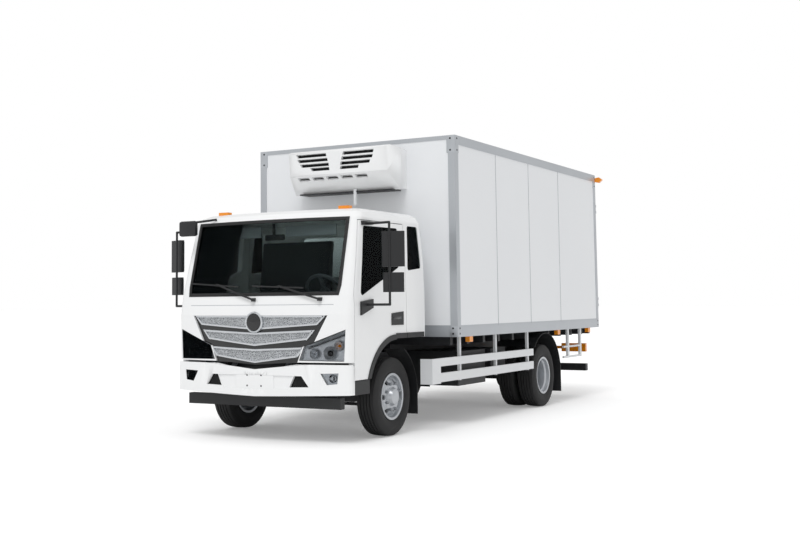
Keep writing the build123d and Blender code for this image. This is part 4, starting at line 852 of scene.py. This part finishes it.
def nuts(sign, node, body, y):
    """The nuts and studs of one wheel."""
    outwards = Vector((sign, 0, 0))
    made = []
    for i in range(NUT_COUNT):
        angle = 2 * pi * (i + 0.5) / NUT_COUNT
        start = Vector(
            (sign * RAY_FROM_X, y + NUT_CIRCLE * cos(angle), AXLE_Z + NUT_CIRCLE * sin(angle))
        )
        hit, place, _, _ = frame["nodes"][node].ray_cast(start, -outwards)
        if hit:
            foot, top = place - outwards * NUT_SINK, place + outwards * NUT_HEIGHT
            made.append(tube(f"nut_{node}_{i}", foot, top, NUT_RADIUS, body, STEEL, 6))
            tip = place + outwards * STUD_HEIGHT
            made.append(tube(f"stud_{node}_{i}", place, tip, STUD_RADIUS, body, STEEL, 16, 0.001))
    print(node, "nuts and studs", len(made))
    join(made, "wheel_nuts_" + node)


for side, sign in SIDES:
    nuts(sign, "front_rim_" + side, "front_wheel_" + side, AXLE_Y)
    nuts(sign, "rear_rims_" + side, "rear_wheels_" + side, REAR_AXLE_Y)

# %% [markdown]
# ## Cooling unit
# The cooling unit's moulded cover leans forward as far as a crease and falls back below it. Two
# groups of air slots are above the crease and a row of five is below. They are cut as pockets
# like the bumper's, and floored with a near-black sheet that paints the shade inside them.

# %% The unit's two faces
CREASE_Y, CREASE_Z, UPPER_LEAN = -0.345, 2.8, -0.035 / 0.26
FOOT_Y, FOOT_Z = -0.145, 2.6


def upper_face(x, z, depth):
    """The upper face leans forward for each metre up."""
    return BOX_Y0 + CREASE_Y + UPPER_LEAN * (z - CREASE_Z) + depth


def lower_face(x, z, depth):
    """The lower face comes forward by as much as it rises."""
    return BOX_Y0 + FOOT_Y - (z - FOOT_Z) + depth


print("crease", round(upper_face(0, CREASE_Z, 0), 3), round(lower_face(0, CREASE_Z, 0), 3))

# %% [markdown]
# Each slot is a slim four-sided outline with slanted ends. Its outline serves twice: for the
# cutter, and for the near-black sheet of painted shade at the bottom of the pocket.

# %% Slots of the cooling unit
UNIT_SLOTS = (
    (-0.535, -0.130, 3.018), (-0.524, -0.116, 2.964), (-0.493, -0.105, 2.909),
    (-0.359, -0.102, 2.861), (0.077, 0.486, 3.018), (0.055, 0.470, 2.964),
    (0.037, 0.431, 2.909), (0.030, 0.283, 2.861),
)
LOW_SLOTS = (-0.470, -0.281, -0.092, 0.097, 0.285)
SLOT_HALF = 0.019
SLOT_AHEAD, SLOT_CUT, SLOT_FLOOR, SLOT_STEP = -0.02, 0.06, 0.036, 0.2
cutters, shade_sheets = [], []


def slot(kind, number, outline, face):
    """The cutter of one slot and the sheet of painted shade at its bottom."""
    cutters.append(
        panel(
            f"cut_{kind}_{number}", outline, face, SLOT_AHEAD, SLOT_CUT,
            "chassis", PLASTIC, step=SLOT_STEP,
        )
    )
    shade_sheets.append(
        panel(
            f"{kind}_lining_{number}", outline, face, SLOT_FLOOR, 0.003,
            "chassis", PAINTED_SHADE, step=SLOT_STEP,
        )
    )


for i, (x0, x1, z) in enumerate(UNIT_SLOTS):
    up, down = z + SLOT_HALF, z - SLOT_HALF
    if x0 < 0:
        slot("slot", i, [(x0, up), (x1 - 0.004, up), (x1, down), (x0 + 0.022, down)], upper_face)
    else:
        slot("slot", i, [(x0 + 0.014, up), (x1, up), (x1 - 0.014, down), (x0, down)], upper_face)
for i, x in enumerate(LOW_SLOTS):
    ends = [(x - 0.079, 2.768), (x + 0.069, 2.768), (x + 0.079, 2.732), (x - 0.069, 2.732)]
    slot("low", i, ends, lower_face)
carve("fridge_unit", cutters, "cooling_unit_cover", "chassis", ENAMEL)
# the slots' near-black sheets are painted shade
join(shade_sheets, "cooling_unit_shade_sheets")

# %% [markdown]
# Melt water leaves through a spout under the unit, and a dark strip closes its underside.

# %% Spout and strip
SPOUT_X, SPOUT_Y = 0.138, BOX_Y0 - 0.19
tube(
    "drain_spout", (SPOUT_X, SPOUT_Y, 2.44), (SPOUT_X, SPOUT_Y, 2.625),
    0.02, "chassis", GUARD_PAINT,
)
bar("unit_fixing_strip", (-0.60, BOX_Y0 - 0.20, 2.592), (0.62, BOX_Y0, 2.606), "chassis", CHASSIS)
print("spout at", round(SPOUT_X, 3), round(SPOUT_Y, 3))

# %% [markdown]
# ## Box body
# Rounded corner castings tie the aluminium rails together, each held by screws whose heads are
# painted shade, a near-black. One side is made, corner by corner, and mirrored.

# %% Corner castings
CAST, CAST_PROUD, CAST_ROUND = 0.105, 0.003, 0.014
SCREW_RADIUS, SCREW_FROM_END, SCREW_FROM_SIDE = 0.011, 0.035, 0.055
CAST_HEIGHTS = (("top", BOX_TOP - 0.2, BOX_TOP), ("bottom", 0.971, 1.10))
CAST_ENDS = (
    ("front", BOX_Y0 - CAST_PROUD, BOX_Y0 + CAST),
    ("rear", BOX_Y1 - CAST, BOX_Y1 + CAST_PROUD),
)


def screw(start, end):
    """A screw head of the castings, painted near-black with shade."""
    return tube("screw", start, end, SCREW_RADIUS, "chassis", PAINTED_SHADE, 16, 0.001)


for level, z0, z1 in CAST_HEIGHTS:
    for end, y0, y1 in CAST_ENDS:
        name = f"casting_{level}_{end}_left"
        low, high = (BOX_HALF - CAST, y0, z0), (BOX_HALF + CAST_PROUD, y1, z1)
        parts = [bar(name, low, high, "chassis", ALUMINIUM, CAST_ROUND)]
        for z in (z0 + SCREW_FROM_END, z1 - SCREW_FROM_END):
            middle = (y0 + y1) / 2
            parts.append(screw((BOX_HALF, middle, z), (BOX_HALF + 0.0045, middle, z)))
            if end == "front":
                x = BOX_HALF - SCREW_FROM_SIDE
                parts.append(screw((x, y0 + 0.001, z), (x, y0 - 0.0015, z)))
        twin(join(parts, name), name.replace("left", "right"))
print("castings", 2 * len(CAST_HEIGHTS) * len(CAST_ENDS))

# %% [markdown]
# The sides are made of panels side by side. A flat strip of sealant covers each joint.

# %% Joint strips
STRIP_HALF, STRIP_FOOT, STRIP_TOP = 0.006, 1.082, BOX_TOP - 0.102
JOINTS_Y = (-0.316, 0.728, 1.807)
for i, y in enumerate(JOINTS_Y):
    low = (BOX_HALF - 0.006, y - STRIP_HALF, STRIP_FOOT)
    high = (BOX_HALF - 0.0035, y + STRIP_HALF, STRIP_TOP)
    strip = bar(f"joint_strip_{i}_left", low, high, "chassis", SEAM, 0.0008)
    twin(strip, f"joint_strip_{i}_right")
print("joints a side", len(JOINTS_Y))

# %% [markdown]
# ## Rear doors
# Each cargo door is locked by two rods with lever handles, held by guides. The rods are in the
# CAD door already, so only the levers, their plates and the guides are added.

# %% Door locks
LOCK_RODS, GUIDE_HEIGHTS = (0.150, 0.820), (1.16, 2.10, 2.96)
LOCK_Y = BOX_Y1 + 0.003
DOOR = "cargo_door_left"
for i, x in enumerate(LOCK_RODS):
    plate = ((x - 0.05, LOCK_Y, 1.42), (x + 0.05, LOCK_Y + 0.006, 1.54))
    lever = ((x - 0.012, LOCK_Y + 0.006, 1.465), (x + 0.33, LOCK_Y + 0.024, 1.495))
    pieces = [
        bar("lever_plate", *plate, DOOR, STEEL, 0.002),
        bar("lever", *lever, DOOR, STEEL, 0.006),
    ]
    for z in GUIDE_HEIGHTS:
        low, high = (x - 0.042, LOCK_Y - 0.001, z), (x + 0.042, LOCK_Y + 0.007, z + 0.05)
        pieces.append(bar("rod_guide", low, high, DOOR, STEEL, 0.002))
    twin(join(pieces, f"door_lock_{i}_left"), f"door_lock_{i}_right", "cargo_door_right")
print("locks a door", len(LOCK_RODS))

# %% [markdown]
# A rubber seal runs round each door, as four slim bars. Below the doors, thin coloured lenses
# are set on the tail lamps.

# %% Door seals and tail lenses
# the left door's seals as low and high x, low and high z
SEAL_BARS = (
    (0.010, 0.024, 1.125, 3.04), (1.165, 1.179, 1.125, 3.04),
    (0.02, 1.17, 1.120, 1.134), (0.02, 1.17, 3.03, 3.044),
)
for x0, x1, z0, z1 in SEAL_BARS:
    name = f"door_seal_{round(x0 * MM_PER_M)}_{round(z0 * MM_PER_M)}_"
    low, high = (x0, BOX_Y1 + 0.001, z0), (x1, BOX_Y1 + 0.006, z1)
    twin(bar(name + "left", low, high, DOOR, SEAL, 0.0015), name + "right", "cargo_door_right")

TAIL_LENSES = ((0.80, RED), (0.92, AMBER), (1.06, RED))
LENS_HALF = 0.045
for side, sign in SIDES:
    for i, (x, material) in enumerate(TAIL_LENSES):
        low = (sign * x - LENS_HALF, BOX_Y1 - 0.062, 0.640)
        high = (sign * x + LENS_HALF, BOX_Y1 - 0.054, 0.720)
        bar(f"tail_lens_{i}_{side}", low, high, "chassis", material)
print("seals", 2 * len(SEAL_BARS), "tail lenses", 2 * len(TAIL_LENSES))

# %% [markdown]
# ## Mirrors and door gear
# The mirror heads get their silvered glass on the side that faces the driver. A pane is made
# upright at the origin and then turned and carried to its head, as the heads are turned too.

# %% Mirror glass
MIRROR_X, MIRROR_Y, MIRROR_TURN = 1.325, AXLE_Y - 0.577, radians(25)
MIRROR_MARGIN, PANE_THICK, PANE_GAP = 0.03, 0.003, 0.0005
# width, depth, height and middle height of the two heads on a door
MIRROR_HEADS = ((0.222, 0.060, 0.344, 1.867), (0.205, 0.056, 0.190, 1.544))
for i, (wide, deep, high, z) in enumerate(MIRROR_HEADS):
    size = (wide - MIRROR_MARGIN, PANE_THICK, high - MIRROR_MARGIN)
    pane = bevelled_block(size, (0, deep / 2 + PANE_GAP, 0), 0.001)
    carried = Matrix.Translation((MIRROR_X, MIRROR_Y, z))
    pane.data.transform(carried @ Matrix.Rotation(MIRROR_TURN, 4, "Z"))
    settle(pane, f"mirror_glass_{i}_left", "door_left", MIRROR)
    twin(pane, f"mirror_glass_{i}_right", "door_right")
print("mirror panes", 2 * len(MIRROR_HEADS))

# %% [markdown]
# Each door has a grip in its recessed handle. A short look-down mirror, which shows the driver
# the ground in front of the bumper, stands on an arm at the cab's right-hand corner.

# %% Door grips and look-down mirror
grip_low, grip_high = (1.036, AXLE_Y - 0.075, 1.178), (1.052, AXLE_Y + 0.10, 1.206)
grip = bar("door_grip_left", grip_low, grip_high, "door_left", GLOSS_BLACK, 0.006)
twin(grip, "door_grip_right", "door_right")
head_low, head_high = (-1.035, AXLE_Y - 0.93, 2.055), (-0.815, AXLE_Y - 0.87, 2.215)
arm_start, arm_end = (-0.84, AXLE_Y - 0.88, 2.20), (-0.70, AXLE_Y - 0.71, 2.232)
glass_low, glass_high = (-1.018, AXLE_Y - 0.871, 2.07), (-0.832, AXLE_Y - 0.867, 2.20)
head = bar("look_down_head", head_low, head_high, "cab", PLASTIC, 0.024)
arm = tube("look_down_arm", arm_start, arm_end, 0.012, "cab", PLASTIC)
join([head, arm], "look_down_mirror")
bar("look_down_glass", glass_low, glass_high, "cab", MIRROR, 0.001)
print("look-down head", [round(b - a, 3) for a, b in zip(head_low, head_high)])

# %% [markdown]
# ## Inside the cab
# Through the glass one sees two sun visors, the inner mirror on its stem and a grab handle by
# the passenger's door.

# %% Cabin pieces
VISOR_X, VISOR_HALF = 0.45, 0.3
for side, sign in SIDES:
    x = sign * VISOR_X
    low, high = (x - VISOR_HALF, AXLE_Y - 0.69, 2.02), (x + VISOR_HALF, AXLE_Y - 0.67, 2.13)
    bar("sun_visor_" + side, low, high, "cab", TRIM_PALE, 0.006)
mirror_low, mirror_high = (-0.11, AXLE_Y - 0.68, 1.99), (0.13, AXLE_Y - 0.66, 2.05)
stem_low, stem_high = (-0.01, AXLE_Y - 0.69, 2.04), (0.01, AXLE_Y - 0.66, 2.16)
handle_foot, handle_top = (-0.86, AXLE_Y - 0.70, 1.56), (-0.86, AXLE_Y - 0.60, 1.86)
bar("inner_mirror", mirror_low, mirror_high, "cab", PLASTIC, 0.01)
bar("inner_mirror_stem", stem_low, stem_high, "cab", PLASTIC, 0.004)
tube("grab_handle", handle_foot, handle_top, 0.014, "cab", PLASTIC)
print("grab handle", round((Vector(handle_top) - Vector(handle_foot)).length, 3))

# %% [markdown]
# ## Seats
# A seat is foam under a stretched cloth cover, so it swells between its seams. The plain CAD
# blocks are copied, one object for each cushion and back. A block is shrunk a little, remeshed
# to even small faces and blown up by the cloth solver, with a cap on how far any point may go,
# which keeps it within a few millimetres of the CAD block. Then it is smoothed.

# %% Pad a block
SEAT_VOXEL, SEAT_CAP, SEAT_SHRINK, LEAST_SIZE = 0.012, 0.014, 0.012, 0.05
PRESSURE, CLOTH_FRAMES, SMOOTH_PASSES = 4, 20, 4


def inflate(block):
    """Blows a block up with the cloth solver, without letting a point go past the cap."""
    rest = [v.co.copy() for v in block.data.vertices]
    cloth = block.modifiers.new("Cloth", "CLOTH")
    cloth.settings.use_pressure = True
    cloth.settings.uniform_pressure_force = PRESSURE
    cloth.settings.effector_weights.gravity = 0
    for step in range(1, CLOTH_FRAMES + 1):
        bpy.context.scene.frame_set(step)
    bpy.ops.object.modifier_apply(modifier="Cloth")
    bpy.context.scene.frame_set(1)
    for point, home in zip(block.data.vertices, rest):
        move = point.co - home
        if move.length > SEAT_CAP:
            point.co = home + move.normalized() * SEAT_CAP


def pad(block, name):
    """One padded piece made from a plain block."""
    only(block)
    shrink = Matrix.Diagonal(
        [1 - 2 * SEAT_SHRINK / max(d, LEAST_SIZE) for d in block.dimensions] + [1]
    )
    centre = sum((Vector(c) for c in block.bound_box), Vector()) / 8
    block.data.transform(Matrix.Translation(centre) @ shrink @ Matrix.Translation(-centre))
    remesh = block.modifiers.new("Remesh", "REMESH")
    remesh.mode, remesh.voxel_size = "VOXEL", SEAT_VOXEL
    bpy.ops.object.modifier_apply(modifier="Remesh")
    inflate(block)
    smooth = block.modifiers.new("Smooth", "SMOOTH")
    smooth.iterations = SMOOTH_PASSES
    finer = block.modifiers.new("Subdivision", "SUBSURF")
    finer.levels = finer.render_levels = 1
    piece = settle(block, name, "cab", FABRIC, smooth=60)
    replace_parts(piece, "seats")
    print(name, [round(d, 3) for d in piece.dimensions])


# %% [markdown]
# The CAD seats are one node with several loose blocks in it. They are separated and sorted
# from right to left and front to back, so that each run names them alike.

# %% Padded seats
merged_copy("seats")
bpy.ops.object.mode_set(mode="EDIT")
bpy.ops.mesh.select_all(action="SELECT")
bpy.ops.mesh.separate(type="LOOSE")
bpy.ops.object.mode_set(mode="OBJECT")


def seat_order(block):
    """Sorts blocks by their right edge and then by their front."""
    corners = block.bound_box
    return round(min(c[0] for c in corners), 2), min(c[1] for c in corners)


for i, block in enumerate(sorted(bpy.context.selected_objects, key=seat_order)):
    pad(block, f"seat_pad_{i}")

# %% [markdown]
# ## Floor and light
# A pale floor keeps the truck's soft shadow. A little glow that only the camera sees lifts it
# to white away from the shadow, without lighting the truck from below.

# %% Floor
FLOOR_SIZE, FLOOR_GLOW = 400, 0.22
clear()
bpy.ops.mesh.primitive_plane_add(size=FLOOR_SIZE, location=(0, 0, 0))
floor = bpy.context.object
floor.name = "floor"
ground = bpy.data.materials.new("pale_studio_floor")
ground.use_nodes = True
matt = ground.node_tree.nodes["Principled BSDF"]
matt.inputs["Base Color"].default_value = linear("#f2f2f2")
matt.inputs["Roughness"].default_value = 0.9
ray = add(ground, "ShaderNodeLightPath")
glow = add(
    ground, "ShaderNodeMath", {"operation": "MULTIPLY"},
    n0=ray.outputs["Is Camera Ray"], n1=FLOOR_GLOW,
)
lift = add(ground, "ShaderNodeEmission", Color=(1, 1, 1, 1), Strength=glow.outputs[0])
both = add(ground, "ShaderNodeAddShader", n0=matt.outputs[0], n1=lift.outputs[0])
floor_end = ground.node_tree.nodes["Material Output"]
ground.node_tree.links.new(both.outputs[0], floor_end.inputs["Surface"])
floor.data.materials.append(ground)
print("floor", floor.dimensions.x)

# %% [markdown]
# The sky is plain white. The camera sees it at full strength, also through glass, and the
# truck is lit by a weaker one, so that a colour renders as it is written. One broad lamp from
# above the nose gives the shapes a lit and a shaded side.

# %% Sky and sun
SKY_LEVEL, SUN_LEVEL, SUN_SIZE = 0.72, 1.1, radians(25)
SUN_WAY = Vector((-0.15, 0.62, -1.0))
world = bpy.data.worlds.new("studio")
bpy.context.scene.world = world
world.use_nodes = True
sky = world.node_tree.nodes["Background"]
rays = add(world, "ShaderNodeLightPath")
seen = add(
    world, "ShaderNodeMath", {"operation": "MAXIMUM"},
    n0=rays.outputs["Is Camera Ray"], n1=rays.outputs["Is Transmission Ray"],
)
level = add(world, "ShaderNodeMapRange", n0=seen.outputs[0], n3=SKY_LEVEL, n4=1.0)
world.node_tree.links.new(level.outputs[0], sky.inputs["Strength"])
sky.inputs["Color"].default_value = (1, 1, 1, 1)

lamp = bpy.data.lights.new("soft_sun", "SUN")
lamp.energy, lamp.angle = SUN_LEVEL, SUN_SIZE
sun = bpy.data.objects.new("soft_sun", lamp)
sun.rotation_mode = "QUATERNION"
sun.rotation_quaternion = SUN_WAY.to_track_quat("-Z", "Y")
bpy.context.scene.collection.objects.link(sun)
print("sun", lamp.energy, "sky", SKY_LEVEL)

# %% [markdown]
# ## Camera
# The camera stands low, ahead of the truck and to its left, and looks up a little. Its focal
# length is known in pixels of the 800 x 534 picture, and its centre is off the middle of that
# picture, so the lens is shifted.

# %% Camera
CAMERA_AT = Vector((6.463, AXLE_Y - 10.210, 1.346))
HEADING, PITCH, ROLL = radians(30.4), radians(4.9), radians(0.5)
SENSOR, WIDTH, HEIGHT, FOCAL_PX, CENTRE_PX = 36, 800, 534, 1127.7, (347.1, 206.5)
lens = bpy.data.cameras.new("camera")
lens.sensor_width = SENSOR
lens.lens = FOCAL_PX * SENSOR / WIDTH
lens.shift_x = (WIDTH / 2 - CENTRE_PX[0]) / WIDTH
lens.shift_y = (CENTRE_PX[1] - HEIGHT / 2) / WIDTH
camera = bpy.data.objects.new("camera", lens)
ahead = Vector((-sin(HEADING) * cos(PITCH), cos(HEADING) * cos(PITCH), sin(PITCH)))
camera.rotation_mode = "QUATERNION"
camera.rotation_quaternion = Quaternion(ahead, ROLL) @ ahead.to_track_quat("-Z", "Y")
camera.location = CAMERA_AT
bpy.context.scene.collection.objects.link(camera)
bpy.context.scene.camera = camera
bpy.context.scene.view_settings.view_transform = "Standard"
print("lens", round(lens.lens, 2), "shift", round(lens.shift_x, 4), round(lens.shift_y, 4))
